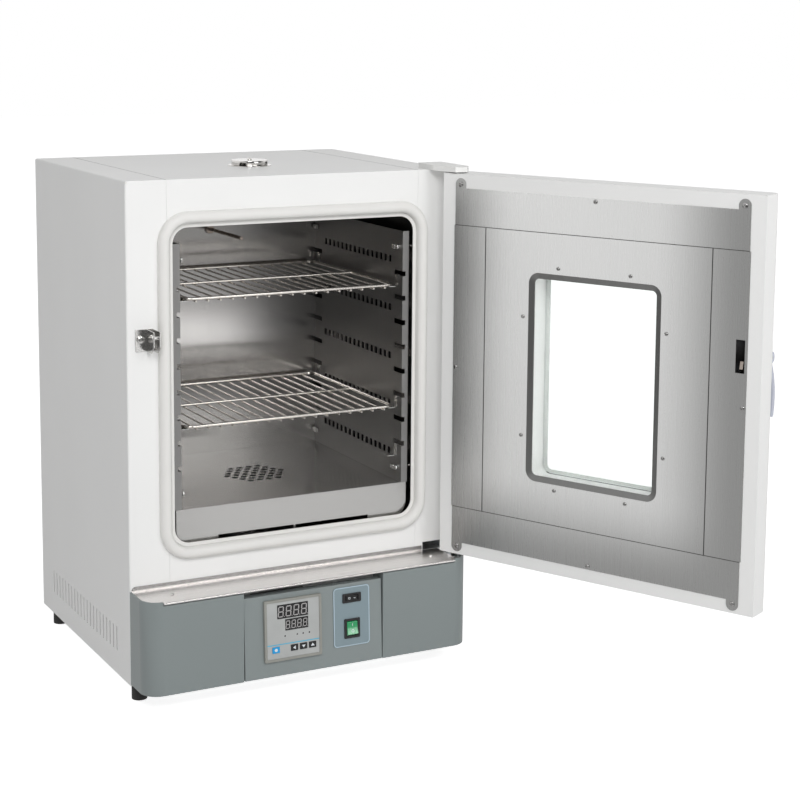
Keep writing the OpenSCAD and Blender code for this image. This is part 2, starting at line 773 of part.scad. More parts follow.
module fan_motor() color([0.35, 0.36, 0.38]) {
  plate_z = deck_z - 2;
  difference() {
    union() {
      block([-60, fan_y - 60, plate_z], [60, fan_y + 60, deck_z]);
      for (x = [-1, 1], y = [-1, 1])
        translate([x * 34, fan_y + y * 34, plate_z - 11]) cylinder(r = 5, h = 11 + lap);
      translate([0, fan_y, plate_z - 10 - 62]) cylinder(r = motor_r, h = 62);
      translate([0, fan_y, plate_z - 10 - lap]) cylinder(r = 15, h = 8);
    }
    translate([0, fan_y, plate_z - 10 - 30]) cylinder(r = shaft_r + run, h = 60);
    translate([0, fan_y, plate_z - cut]) cylinder(r = 17, h = 2 + 2 * cut);
  }
}

module fan_impeller() color([0.7, 0.7, 0.7]) {
  hub_z = mouth_z + 10;
  shaft_low = deck_z - 2 - 10 - 28;
  translate([0, fan_y, 0]) {
    translate([0, 0, shaft_low]) cylinder(r = shaft_r, h = hub_z + 16 - shaft_low);
    translate([0, 0, hub_z]) cylinder(r = shaft_r + 6, h = 14);
    translate([0, 0, hub_z]) cylinder(r = impeller_r, h = steel_t);
    for (i = [0 : blade_count - 1]) rotate([0, 0, i * 360 / blade_count])
      translate([impeller_r - 12, 0, hub_z + steel_t - lap]) rotate([0, 0, 35])
        translate([-9, -0.6, 0]) cube([20, 1.2, blade_h + lap]);
    translate([0, 0, hub_z + steel_t + blade_h - lap]) difference() {
      cylinder(r = impeller_r, h = steel_t);
      translate([0, 0, -cut]) cylinder(r = impeller_r - 22, h = steel_t + 2 * cut);
    }
  }
}

module insulation_deck() color([0.7, 0.71, 0.72]) {
  inner = side_x - sheet_t - fit;
  y0 = front_y + bend_r + sheet_t;
  y1 = back_y - 2 * sheet_t - fit;
  difference() {
    union() {
      block([-inner, y0, deck_z], [inner, y1, deck_z + sheet_t]);
      for (x = [-1, 1]) block([x * inner, y0, deck_z - 18], [x * (inner - sheet_t), y1, deck_z + sheet_t]);
    }
    translate([0, fan_y, deck_z - cut]) cylinder(r = 17, h = sheet_t + 2 * cut);
    for (x = [-1, 1]) translate([x * heater_leg_x, heater_leg_y, deck_z - cut])
      cylinder(r = heater_wire_r + 1, h = sheet_t + 2 * cut);
  }
}

module insulation() color([0.85, 0.8, 0.6]) {
  inner = side_x - sheet_t - fit;
  y0 = mouth_y + steel_t + fit;
  y1 = back_y - 2 * sheet_t - fit;
  z0 = deck_z + sheet_t + 0.1;
  z1 = top_z - sheet_t - 2 * fit;
  difference() {
    block([-inner, y0, z0], [inner, y1, z1]);
    plate_xz(y0 - cut, chamber_back + steel_t + fit - y0 + cut) mouth(steel_t + fit);
    translate([0, fan_y, z0 - cut]) cylinder(r = shaft_r + 4, h = deck_drop + 2 * cut);
    for (x = [-1, 1]) translate([x * heater_leg_x, heater_leg_y, z0 - cut])
      cylinder(r = heater_wire_r + 1, h = deck_drop + 2 * cut);
    translate([0, vent_y, mouth_z + chamber_h]) cylinder(r = vent_tube_r + 0.4, h = roof_wall + cut);
    translate([probe_x, chamber_back, probe_z]) rotate([-90, 0, 0]) cylinder(r = probe_r + 0.4, h = 24);
  }
}

// Vent on top

module vent_windows(r0, r1, z0, h) {
  for (a = [0 : 3]) rotate([0, 0, a * 90 + 45]) translate([0, 0, z0]) {
    block([r0, -7, 0], [r1, 7, h - 2]);
    translate([r0, 0, h - 7]) rotate([0, 90, 0]) cylinder(r = 7, h = r1 - r0);
  }
}

module vent_base() color([0.8, 0.8, 0.8]) {
  ring_r = vent_cap_r - 3.2;
  translate([0, vent_y, 0]) {
    difference() {
      translate([0, 0, mouth_z + chamber_h + fit])
        cylinder(r = vent_tube_r, h = top_z + 1 - mouth_z - chamber_h - fit);
      translate([0, 0, mouth_z + chamber_h]) cylinder(r = vent_tube_r - steel_t, h = roof_wall + 5);
    }
    translate([0, 0, top_z]) difference() {
      cylinder(r = vent_flange_r, h = steel_t);
      translate([0, 0, -cut]) cylinder(r = vent_tube_r - steel_t, h = 4);
    }
    difference() {
      translate([0, 0, top_z + steel_t - lap]) difference() {
        cylinder(r = ring_r, h = 6 + lap);
        translate([0, 0, -cut]) cylinder(r = ring_r - 1.5, h = 10);
      }
      translate([0, 0, top_z + steel_t]) for (a = [0 : 3]) rotate([0, 0, a * 90 + 45])
        block([ring_r - 4, -7, 0], [ring_r + 4, 7, 4.5]);
    }
    block([-vent_tube_r - 3, -3, top_z + steel_t - lap], [vent_tube_r + 3, 3, top_z + steel_t + 1.5]);
    translate([0, 0, top_z + steel_t]) cylinder(r = 2.5, h = 9.2);
    translate([0, 0, top_z + steel_t + 8.2]) cylinder(r = 4, h = 1);
    translate([0, 0, top_z + steel_t + 9.2]) intersection() {
      translate([0, 0, -3]) sphere(r = 5);
      cylinder(r = 4, h = 3);
    }
  }
}

module vent_cap() color([0.82, 0.82, 0.82]) {
  z0 = top_z + steel_t + fit;
  h = 7.5;
  translate([0, vent_y, z0]) difference() {
    cylinder(r = vent_cap_r, h = h);
    translate([0, 0, -cut]) cylinder(r = vent_cap_r - 1.5, h = h - 1.2 + cut);
    cylinder(r = 2.5 + run, h = h + cut);
    for (a = [0 : 3]) rotate([0, 0, a * 90 + 45]) {
      block([vent_cap_r - 4, -6, -cut], [vent_cap_r + 4, 6, 2]);
      translate([vent_cap_r - 4, 0, 2]) rotate([0, 90, 0]) scale([0.6, 1, 1])
        cylinder(r = 6, h = 8);
    }
  }
}

// Inlet in the back

inlet_x = side_x - 75;
inlet_z = base_z + 60;
inlet_w = 28;
inlet_h = 20;

module power_inlet() color([0.12, 0.12, 0.13]) {
  y0 = back_y - sheet_t;
  difference() {
    union() {
      plate_xz(y0, 2.5) translate([inlet_x, inlet_z]) rounded(50, 25, 4);
      plate_xz(y0 - 26, 26 + lap) translate([inlet_x, inlet_z])
        square([inlet_w - 0.4, inlet_h - 0.4], center = true);
    }
    plate_xz(y0 - 16, 20) translate([inlet_x, inlet_z]) rounded(24, 16.5, 3);
  }
  for (p = [[-7, 0], [7, 0], [0, 4]])
    plate_xz(y0 - 17, 14) translate([inlet_x + p.x, inlet_z - 1.5 + p.y]) square([2, 4], center = true);
}

// Plinth and tray

// Plan of the plinth, grown inward: 2D is X and Y
module plinth_plan(inset) {
  r = plinth_r - inset;
  x = side_x - inset;
  y = plinth_y + inset;
  translate([-x + r, y]) square([2 * (x - r), front_y - y]);
  translate([-x, y + r]) square([2 * x, front_y - y - r]);
  for (s = [-1, 1]) translate([s * (x - r), y + r]) circle(r);
}

module plinth_shell() color([0.53, 0.57, 0.57]) {
  h = plinth_z1 - plinth_z0;
  lip_z = tray_z - lip_gap;
  rail_y = pivot_y + 26;
  difference() {
    translate([0, 0, plinth_z0]) linear_extrude(h) difference() {
      plinth_plan(0);
      intersection() {
        plinth_plan(plinth_wall);
        translate([-side_x, plinth_y]) square([body_w, plinth_d + cut]);
      }
      translate([-side_x, front_y]) square([body_w, cut]);
    }
    block([-side_x + plinth_wall, front_y - cut, plinth_z0 - cut],
          [side_x - plinth_wall, front_y + cut, plinth_z1 + cut]);
    block([-cheek_in, plinth_y - cut, plinth_z0 - cut], [cheek_in, plinth_y + plinth_wall + cut, plinth_z1 + cut]);
    block([-side_x + plinth_r, plinth_y - cut, lip_z],
          [side_x - plinth_r, plinth_y + plinth_wall + cut, plinth_z1 + cut]);
  }
  for (s = [-1, 1]) {
    block([s * cheek_in, plinth_y, plinth_z0], [s * (cheek_in + plinth_wall), rail_y + plinth_wall, lip_z]);
    translate([s * cheek_in, pivot_y, pivot_z]) rotate([0, -s * 90, 0]) {
      translate([0, 0, -lap]) cylinder(r = pivot_r, h = panel_gap + 4 + lap, $fn = 24);
    }
  }
  block([-cheek_in - lap, rail_y, plinth_z0], [cheek_in + lap, rail_y + plinth_wall, plinth_z0 + 24]);
}

module spill_tray() color([0.8, 0.79, 0.78]) {
  gap = plinth_wall + fit;
  translate([0, 0, tray_z]) linear_extrude(sheet_t) intersection() {
    union() {
      plinth_plan(gap);
      translate([-side_x + plinth_r + fit, plinth_y - 1])
        square([body_w - 2 * plinth_r - 2 * fit, gap + 5]);
    }
    translate([-side_x, plinth_y - 5]) square([side_x + tray_end, plinth_d + 5]);
  }
  plate_xz(front_y - sheet_t, sheet_t) intersection() {
    translate([-side_x + gap, tray_z]) square([side_x + upstand_end - gap, sheet_t + upstand_h]);
    union() {
      translate([-side_x + gap + 6, tray_z]) square([body_w, 40]);
      translate([-side_x + gap, tray_z]) square([20, sheet_t + upstand_h - 6]);
      translate([-side_x + gap + 6, tray_z + sheet_t + upstand_h - 6]) circle(6);
    }
  }
  translate([-side_x + plinth_r + fit, plinth_y - 1, tray_z]) rotate([0, 90, 0])
    cylinder(r = 1.6, h = body_w - 2 * plinth_r - 2 * fit, $fn = 24);
  for (s = [-1, 1]) translate([s * (side_x - 54), front_y - 35, tray_z + sheet_t - lap])
    cylinder(r = 3.2, h = 1 + lap, $fn = 24);
}

// Hinges

module upper_hinge_bracket() color([0.93, 0.93, 0.92]) {
  y0 = door_out - 2;
  difference() {
    translate([0, 0, top_z]) linear_extrude(8) polygon([
      [side_x - 42, front_y + 40], [side_x - 47, front_y - 18], [side_x - 34, y0],
      [side_x - 13, y0], [side_x - fit, y0 + 18], [side_x - fit, front_y + 40]
    ]);
    translate([hinge_x, hinge_y, top_z - cut]) cylinder(r = hinge_pin_r + run / 2, h = 8 + 2 * cut);
  }
}

module lower_hinge_bracket() color([0.55, 0.56, 0.58]) {
  z0 = tray_z - 9;
  x0 = hinge_x - 28;
  x1 = hinge_x + 5;
  difference() {
    union() {
      translate([0, 0, z0]) linear_extrude(6) {
        polygon([
          [x0, front_y], [x0, hinge_y + 4], [x0 + 14, hinge_y - 9], [hinge_x, hinge_y - 9],
          [hinge_x + 9, hinge_y], [x1, front_y]
        ]);
        translate([hinge_x, hinge_y]) circle(9);
      }
      block([x0, front_y - 6, z0 - 44], [x1, front_y, z0 + 6]);
      plate_yz(x0 + 12, 5) polygon([
        [front_y - 6 + lap, z0 + lap], [front_y - 28, z0 + lap], [front_y - 6 + lap, z0 - 36]
      ]);
    }
    translate([hinge_x, hinge_y, z0 - cut]) cylinder(r = hinge_pin_r + run / 2, h = 6 + 2 * cut);
  }
}

module hinge_pins() color([0.82, 0.82, 0.82]) {
  low_z = tray_z - 9;
  translate([hinge_x, hinge_y, door_z1 - bush_h + 2]) cylinder(r = hinge_pin_r, h = top_z + 8 - door_z1 + bush_h - 2);
  translate([hinge_x, hinge_y, low_z]) cylinder(r = hinge_pin_r, h = door_z0 + bush_h - 2 - low_z);
}

// Door: every door module draws the closed door, and at_door() opens it

// Plan of the door, grown inward: 2D is X and Y
module door_plan(inset) {
  r = door_edge_r - inset;
  x = door_x - inset;
  y = door_out + inset;
  y1 = door_in - inset;
  translate([-x, y + r]) square([2 * x, y1 - y - r]);
  translate([-x + r, y]) square([2 * (x - r), y1 - y]);
  for (s = [-1, 1]) translate([s * (x - r), y + r]) circle(r);
}

module window(grow) {
  translate([0, door_mid]) rounded(window_w + 2 * grow, window_h + 2 * grow, window_r + grow);
}

module door_outer_shell() color([0.92, 0.92, 0.92]) at_door() {
  hole_x = liner_x - rim_lap;
  difference() {
    union() {
      difference() {
        translate([0, 0, door_z0]) linear_extrude(door_z1 - door_z0) door_plan(0);
        translate([0, 0, door_z0 + sheet_t]) linear_extrude(door_z1 - door_z0 - 2 * sheet_t)
          door_plan(sheet_t);
        plate_xz(door_in - sheet_t - cut, sheet_t + 2 * cut)
          translate([-hole_x, liner_z0 + rim_lap])
            square([2 * hole_x, liner_z1 - liner_z0 - 2 * rim_lap]);
      }
      for (z = [door_z0 + lap, door_z1 - bush_h]) translate([hinge_x, hinge_y, z])
        cylinder(r = bush_r, h = bush_h - lap);
      plate_xz(door_out, glass_in - door_out) difference() {
        window(-collar_inset);
        window(-collar_inset - sheet_t);
      }
    }
    for (z = [door_z0 - cut, door_z1 - bush_h - cut]) translate([hinge_x, hinge_y, z])
      cylinder(r = hinge_pin_r + run, h = bush_h + 2 * cut);
    plate_xz(door_out - cut, sheet_t + 2 * cut) {
      window(-window_rim);
      translate([latch_x, lever_z + 2]) square([hook_t + 5, 40], center = true);
    }
    plate_xz(door_in - sheet_t - cut, sheet_t + 2 * cut)
      translate([latch_x, slot_mid]) square([latch_slot_w + 2, latch_slot_h + 2], center = true);
  }
}

module ears(z) {
  for (s = [-1, 1]) translate([s * ear_x, z]) circle(ear_r);
}

module door_liner_top() color([0.72, 0.72, 0.71]) at_door()
  plate_xz(door_in, liner_t) {
    translate([-strip_half, strip_z1]) square([2 * strip_half, strip_h]);
    for (s = [-1, 1]) translate([s * ear_x - ear_r, strip_z1]) square([2 * ear_r, strip_h + ear_rise]);
    ears(liner_z1 + ear_rise);
  }

module door_liner_bottom() color([0.68, 0.68, 0.67]) at_door()
  plate_xz(door_in, liner_t) {
    translate([-strip_half, liner_z0]) square([2 * strip_half, strip_h]);
    for (s = [-1, 1]) translate([s * ear_x - ear_r, liner_z0 - ear_rise]) square([2 * ear_r, strip_h]);
    ears(liner_z0 - ear_rise);
  }

module side_strip() {
  translate([strip_x, strip_z0 + seam]) square([strip_w, strip_z1 - strip_z0 - 2 * seam]);
}

module door_liner_hinge_side() color([0.6, 0.6, 0.59]) at_door() plate_xz(door_in, liner_t) side_strip();

module door_liner_latch_side() color([0.75, 0.75, 0.74]) at_door()
  plate_xz(door_in, liner_t) difference() {
    mirror([1, 0]) side_strip();
    translate([latch_x, slot_mid]) square([latch_slot_w, latch_slot_h], center = true);
  }

module door_liner_center() color([0.7, 0.7, 0.69]) at_door()
  plate_xz(door_in, liner_t) difference() {
    x = strip_x - seam;
    translate([-x, strip_z0 + seam]) square([2 * x, strip_z1 - strip_z0 - 2 * seam]);
    window(0.1);
  }

// Heads of the screws that hold the liner and the window
module door_screws() color([0.8, 0.8, 0.8]) at_door() {
  mid_z = (liner_z0 + liner_z1) / 2;
  for (s = [-1, 1]) {
    for (z = [liner_z0 - ear_rise, liner_z1 + ear_rise]) screw_head(s * ear_x, z, 4.2);
    screw_head(s * (liner_x - 5), mid_z, 3.5);
    for (z = [-1, 1]) {
      screw_head(s * (window_w / 2 + 9.5), door_mid + z * window_h * 0.286, 3);
      screw_head(s * window_w * 0.272, door_mid + z * (window_h / 2 + 9.5), 3);
    }
  }
  for (z = [liner_z0 + 5, liner_z1 - 5]) screw_head(0, z, 3.5);
}

module screw_head(x, z, r) {
  translate([x, door_in + liner_t, z]) rotate([-90, 0, 0]) cylinder(r = r, h = 1.8, $fn = 24);
}

// Panes: each sits in the collar of the door's outer shell
glass_in = door_in - 3;
glass_out = door_out + sheet_t + 0.1;
pane_edge = -collar_inset - sheet_t - fit;

// Trim ring's section, its outer edge at x = 0 and its back on y = 0
module trim_section() {
  polygon([[0, 0], [0, trim_t], [-window_rim, trim_t - trim_slope], [-window_rim, 0]]);
}

module window_frame() color([0.42, 0.42, 0.42]) at_door()
  translate([0, glass_in + 0.1, door_mid]) rotate([-90, 0, 0])
    sweep_round(window_w, window_h, window_r) trim_section();

module inner_glass() color([0.85, 0.92, 0.93, 0.3]) at_door()
  plate_xz(glass_in - glass_t, glass_t) window(pane_edge);

module outer_glass() color([0.85, 0.92, 0.93, 0.3]) at_door()
  plate_xz(glass_out, glass_t) window(pane_edge);

module door_insulation() color([0.85, 0.8, 0.6]) at_door()
  difference() {
    union() {
      translate([0, 0, door_z0 + sheet_t + 0.2]) linear_extrude(door_z1 - door_z0 - 2 * sheet_t - 0.4)
        door_plan(sheet_t + 0.2);
      plate_xz(door_in - sheet_t - 0.2 - lap, sheet_t + lap) {
        x = liner_x - rim_lap - fit;
        z0 = liner_z0 + rim_lap + fit;
        translate([-x, z0]) square([2 * x, liner_z1 - rim_lap - fit - z0]);
      }
    }
    plate_xz(door_out - cut, door_t + 2 * cut) window(0.2);
    block([latch_x - cavity_w / 2, door_out, slot_mid - 30], [latch_x + cavity_w / 2, door_in + cut, slot_mid + 30]);
    for (z = [door_z0, door_z1 - bush_h - 1]) translate([hinge_x, hinge_y, z])
      cylinder(r = bush_r + fit, h = bush_h + 1);
  }

// Latch

// Cabinet's striker: a bent plate with two ears and a cross pin
module latch_striker() color([0.72, 0.73, 0.75]) {
  half = striker_w / 2;
  low = pin_z - 23;
  y0 = front_y - 2;
  block([latch_x - 22, y0, low], [latch_x + half, front_y, low + 33]);
  for (s = [-1, 1]) plate_yz(latch_x + s * (half - 0.75) - 0.75, 1.5) difference() {
    translate([front_y - striker_l, low]) square([striker_l, 33]);
    translate([front_y - striker_l, low]) rotate(45) square([14, 14], center = true);
  }
  translate([latch_x - half - 0.4, pin_y, pin_z]) rotate([0, 90, 0])
    cylinder(r = striker_pin_r, h = striker_w + 0.8, $fn = 24);
  translate([latch_x - 14, y0 + lap, pin_z - 5]) rotate([90, 0, 0]) cylinder(r = 5.5, h = 2 + lap);
  translate([latch_x - 14, y0 - 2, pin_z - 5]) rotate([90, 0, 0]) cylinder(r = 4, h = 1);
}

module handle_base() color([0.72, 0.74, 0.78]) at_door() {
  outer_w = 2 * (cheek_x + cheek_t);
  difference() {
    union() {
      plate_xz(door_out - base_plate_t, base_plate_t)
        translate([latch_x, lever_z - 5]) rounded(outer_w, 84, 8);
      for (s = [-1, 1]) plate_yz(latch_x + s * (cheek_x + cheek_t / 2) - cheek_t / 2, cheek_t) {
        translate([lever_y, lever_z]) circle(cheek_r);
        translate([lever_y, lever_z - cheek_r]) square([door_out - lever_y - 1, 2 * cheek_r]);
      }
    }
    translate([latch_x - 40, lever_y, lever_z]) rotate([0, 90, 0])
      cylinder(r = lever_pin_r + run / 2, h = 80);
    plate_xz(door_out - base_plate_t - cut, base_plate_t + 2 * cut)
      translate([latch_x, lever_z + 2]) square([hook_t + 4, 36], center = true);
  }
}

module lever_pin() color([0.75, 0.75, 0.76]) at_door() {
  half = cheek_x + cheek_t;
  translate([latch_x - half, lever_y, lever_z]) rotate([0, 90, 0]) cylinder(r = lever_pin_r, h = 2 * half);
}

// Side view of the lever, pushed home: 2D is Y and Z
module lever_side() {
  mid_z = lever_z - lever_l / 2;
  arc_y = lever_y - 11 + lever_arc;
  end_y = arc_y - sqrt(lever_arc * lever_arc - lever_l * lever_l / 4);
  translate([lever_y, lever_z]) circle(9);
  intersection() {
    translate([arc_y, mid_z]) difference() {
      circle(lever_arc + lever_t / 2, $fn = 180);
      circle(lever_arc - lever_t / 2, $fn = 180);
    }
    translate([lever_y - 40, mid_z - lever_l / 2]) square([60, lever_l]);
  }
  translate([end_y, lever_z - lever_l]) circle(lever_t / 2);
}

module handle_lever() color([0.77, 0.8, 0.9]) at_lever()
  difference() {
    plate_yz(latch_x - lever_w / 2, lever_w) lever_side();
    block([latch_x - hook_t / 2 - 0.1, lever_y - 9.2, lever_z - 9.2],
          [latch_x + hook_t / 2 + 0.1, lever_y + 12, lever_z + 12]);
    translate([latch_x - lever_w, lever_y, lever_z]) rotate([0, 90, 0])
      cylinder(r = lever_pin_r + run, h = 2 * lever_w);
  }

// Hook, pushed home: it passes under the striker's pin and its barb stands behind it
module latch_hook() color([0.7, 0.7, 0.72]) at_lever() {
  under = pin_z - striker_pin_r - 0.3;
  behind = pin_y + striker_pin_r + 0.3;
  plate_yz(latch_x - hook_t / 2, hook_t) difference() {
    union() {
      translate([lever_y, lever_z]) circle(9);
      polygon([
        [lever_y, lever_z + 8], [pin_y - 14, lever_z + 8], [pin_y - 6, under], [behind, under],
        [behind, pin_z + striker_pin_r], [behind + 3, pin_z + striker_pin_r],
        [behind + 8, under - 5], [behind + 6, under - 9], [pin_y - 8, under - 11],
        [lever_y, lever_z - 8]
      ]);
    }
    translate([lever_y, lever_z]) circle(lever_pin_r + run);
  }
}

// Control panel: its modules are drawn about the pivots, and at_panel() sets them in place

module switch_holes(grow) {
  translate([plate_x, power_z]) square([23 + 2 * grow, 27 + 2 * grow], center = true);
  translate([plate_x, fan_switch_z]) square([28 + 2 * grow, 11 + 2 * grow], center = true);
}

module control_panel() color([0.53, 0.57, 0.57]) at_panel() {
  x = panel_w / 2;
  difference() {
    union() {
      plate_xz(face_y, sheet_t) difference() {
        translate([-x, panel_low]) square([2 * x, panel_h]);
        translate([bezel_x, bezel_z]) square([bezel_w - 5, bezel_w - 5], center = true);
        switch_holes(0.2);
      }
      for (s = [-1, 1]) block([s * x, face_y, panel_low], [s * (x - sheet_t), face_y + panel_fold, panel_high]);
      for (z = [panel_low, panel_high - sheet_t])
        block([-x, face_y, z], [x, face_y + panel_fold, z + sheet_t]);
    }
    block([plate_x - 26, face_y + 6, panel_high - sheet_t - cut], [plate_x + 7, face_y + 11, panel_high + cut]);
    for (s = [-1, 1]) translate([s * (x + cut), 0, 0]) rotate([0, -s * 90, 0])
      cylinder(r = pivot_r + run, h = sheet_t + 2 * cut, $fn = 24);
  }
}

module controller_bezel() color([0.59, 0.58, 0.56]) at_panel()
  plate_xz(face_y - bezel_t, bezel_t) translate([bezel_x, bezel_z]) difference() {
    rounded(bezel_w, bezel_w, 2);
    rounded(bezel_w - 2 * bezel_rim, bezel_w - 2 * bezel_rim, 1);
  }

// Where a key or a display sits on the face: 2D is X and Z
module key_at(x) {
  translate([x, key_row]) rounded(key_w, key_h, 1);
}

module controller_face() color([0.77, 0.77, 0.77]) at_panel() {
  w = bezel_w - 2 * bezel_rim - 0.2;
  y0 = face_y - bezel_t + 1;
  difference() {
    plate_xz(y0, 2) difference() {
      translate([bezel_x, bezel_z]) rounded(w, w, 1);
      for (x = [set_key_x, up_key_x - 2 * key_step, up_key_x - key_step, up_key_x])
        translate([x, key_row]) square([key_w + 0.4, key_h + 0.4], center = true);
    }
    plate_xz(y0 - cut, 0.8 + cut) {
      translate([bezel_x - 0.5, bezel_z + 28.5]) square([52, 22], center = true);
      translate([bezel_x + 6, bezel_z + 7]) square([39, 18], center = true);
    }
  }
  plate_xz(y0 + 2, bezel_t - 3) translate([bezel_x, bezel_z]) difference() {
    rounded(w, w, 1);
    square([w - 4, w - 4], center = true);
  }
}

module controller_body() color([0.15, 0.15, 0.16]) at_panel()
  plate_xz(face_y, body_depth) translate([bezel_x, bezel_z]) rounded(bezel_w - 5.6, bezel_w - 5.6, 2);

module key(x) {
  y0 = face_y - bezel_t + 0.2;
  at_panel() {
    plate_xz(y0, 3.4) key_at(x);
    plate_xz(y0 + 2.9, 0.8) translate([x, key_row]) square([key_w + 2, key_h + 2], center = true);
  }
}

module set_key() color([0.08, 0.6, 0.9]) key(set_key_x);

module left_key() color([0.1, 0.1, 0.1]) key(up_key_x - 2 * key_step);

module down_key() color([0.1, 0.1, 0.1]) key(up_key_x - key_step);

module up_key() color([0.1, 0.1, 0.1]) key(up_key_x);

plate_front = face_y - 1.2;

module switch_plate() color([0.53, 0.6, 0.65]) at_panel()
  plate_xz(plate_front, 1.2) difference() {
    translate([plate_x, plate_z]) rounded(plate_w, plate_h, 6);
    switch_holes(0.2);
  }

// Rocker's end radius and its pivot behind the plate's front
power_r = 11.6;
fan_r = 10.8;
rocker_y = plate_front + 3;

module power_switch_body() color([0.1, 0.1, 0.1]) at_panel() difference() {
  union() {
    plate_xz(plate_front - 2, 2) translate([plate_x, power_z]) rounded(27, 31, 1.5);
    plate_xz(plate_front - lap, 24) translate([plate_x, power_z]) square([22.8, 26.8], center = true);
  }
  translate([plate_x - 9.3, rocker_y, power_z]) rotate([0, 90, 0]) cylinder(r = power_r + fit, h = 18.6);
  block([plate_x - 9.3, rocker_y - 20, power_z - power_r - fit],
        [plate_x + 9.3, rocker_y, power_z + power_r + fit]);
}

// Rocker section about its pivot: a dished front between round ends
module rocker_section(r, rise) {
  intersection() {
    circle(r, $fn = 96);
    polygon([[-r - 1, -rise - 1.8], [0, -rise], [r + 1, -rise - 1.8], [r + 1, 4], [-r - 1, 4]]);
  }
}

module power_rocker() color([0.2, 0.75, 0.45]) at_panel()
  translate([plate_x - 9, rocker_y, power_z]) rotate([-rocker_turn, 0, 0])
    rotate([90, 0, 90]) linear_extrude(18) rotate(-90) rocker_section(power_r, 5.4);

module fan_switch_body() color([0.1, 0.1, 0.1]) at_panel() difference() {
  union() {
    plate_xz(plate_front - 2, 2) translate([plate_x, fan_switch_z]) rounded(32, 14.5, 1.5);
    plate_xz(plate_front - lap, 20) translate([plate_x, fan_switch_z]) square([27.8, 10.8], center = true);
  }
  translate([plate_x, rocker_y, fan_switch_z - 4.3]) cylinder(r = fan_r + fit, h = 8.6);
  block([plate_x - fan_r - fit, rocker_y - 20, fan_switch_z - 4.3],
        [plate_x + fan_r + fit, rocker_y, fan_switch_z + 4.3]);
}

module fan_rocker() color([0.13, 0.13, 0.14]) at_panel()
  translate([plate_x, rocker_y, fan_switch_z - 4]) rotate([0, 0, -rocker_turn])
    linear_extrude(8) rocker_section(fan_r, 5.4);

left_side_shell();
right_side_shell();
top_panel();
back_panel();
front_frame();
base_pan();
chamber_box();
chamber_gasket();
left_duct_panel();
right_duct_panel();
chamber_floor();
thumb_screws();
shelf_clips();
temperature_probe();
insulation();
insulation_deck();
heater_element();
fan_motor();
plinth_shell();
spill_tray();
upper_hinge_bracket();
lower_hinge_bracket();
hinge_pins();
latch_striker();
vent_base();
rubber_feet();
foot_studs();
power_inlet();
door_outer_shell();
door_liner_top();
door_liner_bottom();
door_liner_hinge_side();
door_liner_latch_side();
door_liner_center();
door_screws();
window_frame();
inner_glass();
outer_glass();
door_insulation();
handle_base();
lever_pin();
handle_lever();
latch_hook();
upper_shelf();
lower_shelf();
control_panel();
controller_bezel();
controller_face();
controller_body();
switch_plate();
fan_switch_body();
power_switch_body();
set_key();
left_key();
down_key();
up_key();
fan_rocker();
power_rocker();
vent_cap();
fan_impeller();
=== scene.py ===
import logging
import math
from dataclasses import dataclass
from enum import Enum

import bmesh
import bpy
from mathutils import Matrix, Vector


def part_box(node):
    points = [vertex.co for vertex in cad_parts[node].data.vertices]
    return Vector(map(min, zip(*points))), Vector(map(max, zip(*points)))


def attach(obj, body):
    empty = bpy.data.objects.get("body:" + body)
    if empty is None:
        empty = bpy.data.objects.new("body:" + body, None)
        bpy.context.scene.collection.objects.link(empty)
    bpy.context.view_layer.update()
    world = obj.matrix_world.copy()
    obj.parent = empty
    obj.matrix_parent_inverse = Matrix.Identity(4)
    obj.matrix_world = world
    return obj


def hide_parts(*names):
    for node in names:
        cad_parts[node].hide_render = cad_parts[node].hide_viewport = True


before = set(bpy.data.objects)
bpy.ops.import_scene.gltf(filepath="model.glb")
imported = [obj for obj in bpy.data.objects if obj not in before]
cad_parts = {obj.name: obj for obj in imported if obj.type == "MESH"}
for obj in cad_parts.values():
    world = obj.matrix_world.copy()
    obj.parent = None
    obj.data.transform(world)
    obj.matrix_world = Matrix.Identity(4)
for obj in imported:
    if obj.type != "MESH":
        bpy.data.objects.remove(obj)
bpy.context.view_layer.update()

LOG = logging.getLogger("sterilizer")
MM = 0.001

Point = tuple[float, float]
Outline = list[Point]
Triple = tuple[float, float, float]
Color = tuple[float, float, float, float]
Range = tuple[float, float, float, float]
Ring = list[bmesh.types.BMVert]
Socket = bpy.types.NodeSocket
Level = Socket | float | Color | Vector
Key = str | int

WHITE = (1.0, 1.0, 1.0, 1.0)


def srgb(red: int, green: int, blue: int) -> Color:
    """Turns a colour as the eye reads it into a linear one.

    Args:
        red: Red, 0 to 255.
        green: Green, 0 to 255.
        blue: Blue, 0 to 255.

    Returns:
        The linear colour, opaque.
    """
    def channel(value: int) -> float:
        """Returns one channel in linear light."""
        share = value / 255
        return share / 12.92 if share <= 0.04045 else ((share + 0.055) / 1.055) ** 2.4
    return (channel(red), channel(green), channel(blue), 1.0)


# Frames of the moving sub-assemblies, at rest

HINGE = Vector((0.262, -0.259, 0.0))
DOOR_TURN = math.radians(116.1)
DOOR = Matrix.Translation(HINGE) @ Matrix.Rotation(DOOR_TURN, 4, "Z") @ Matrix.Translation(-HINGE)
PANEL = Matrix.Translation((0.0, -0.281, 0.052)) @ Matrix.Rotation(math.radians(-2.5), 4, "X")

# (across, up, out) drawn on a face that looks to the front or to the back

TO_FRONT = Matrix(((1, 0, 0, 0), (0, 0, -1, 0), (0, 1, 0, 0), (0, 0, 0, 1)))
TO_BACK = Matrix(((-1, 0, 0, 0), (0, 0, 1, 0), (0, 1, 0, 0), (0, 0, 0, 1)))

# The middle part of a noise's values, which a finish spreads over its own range

NOISE_LOW = 0.28
NOISE_HIGH = 0.72


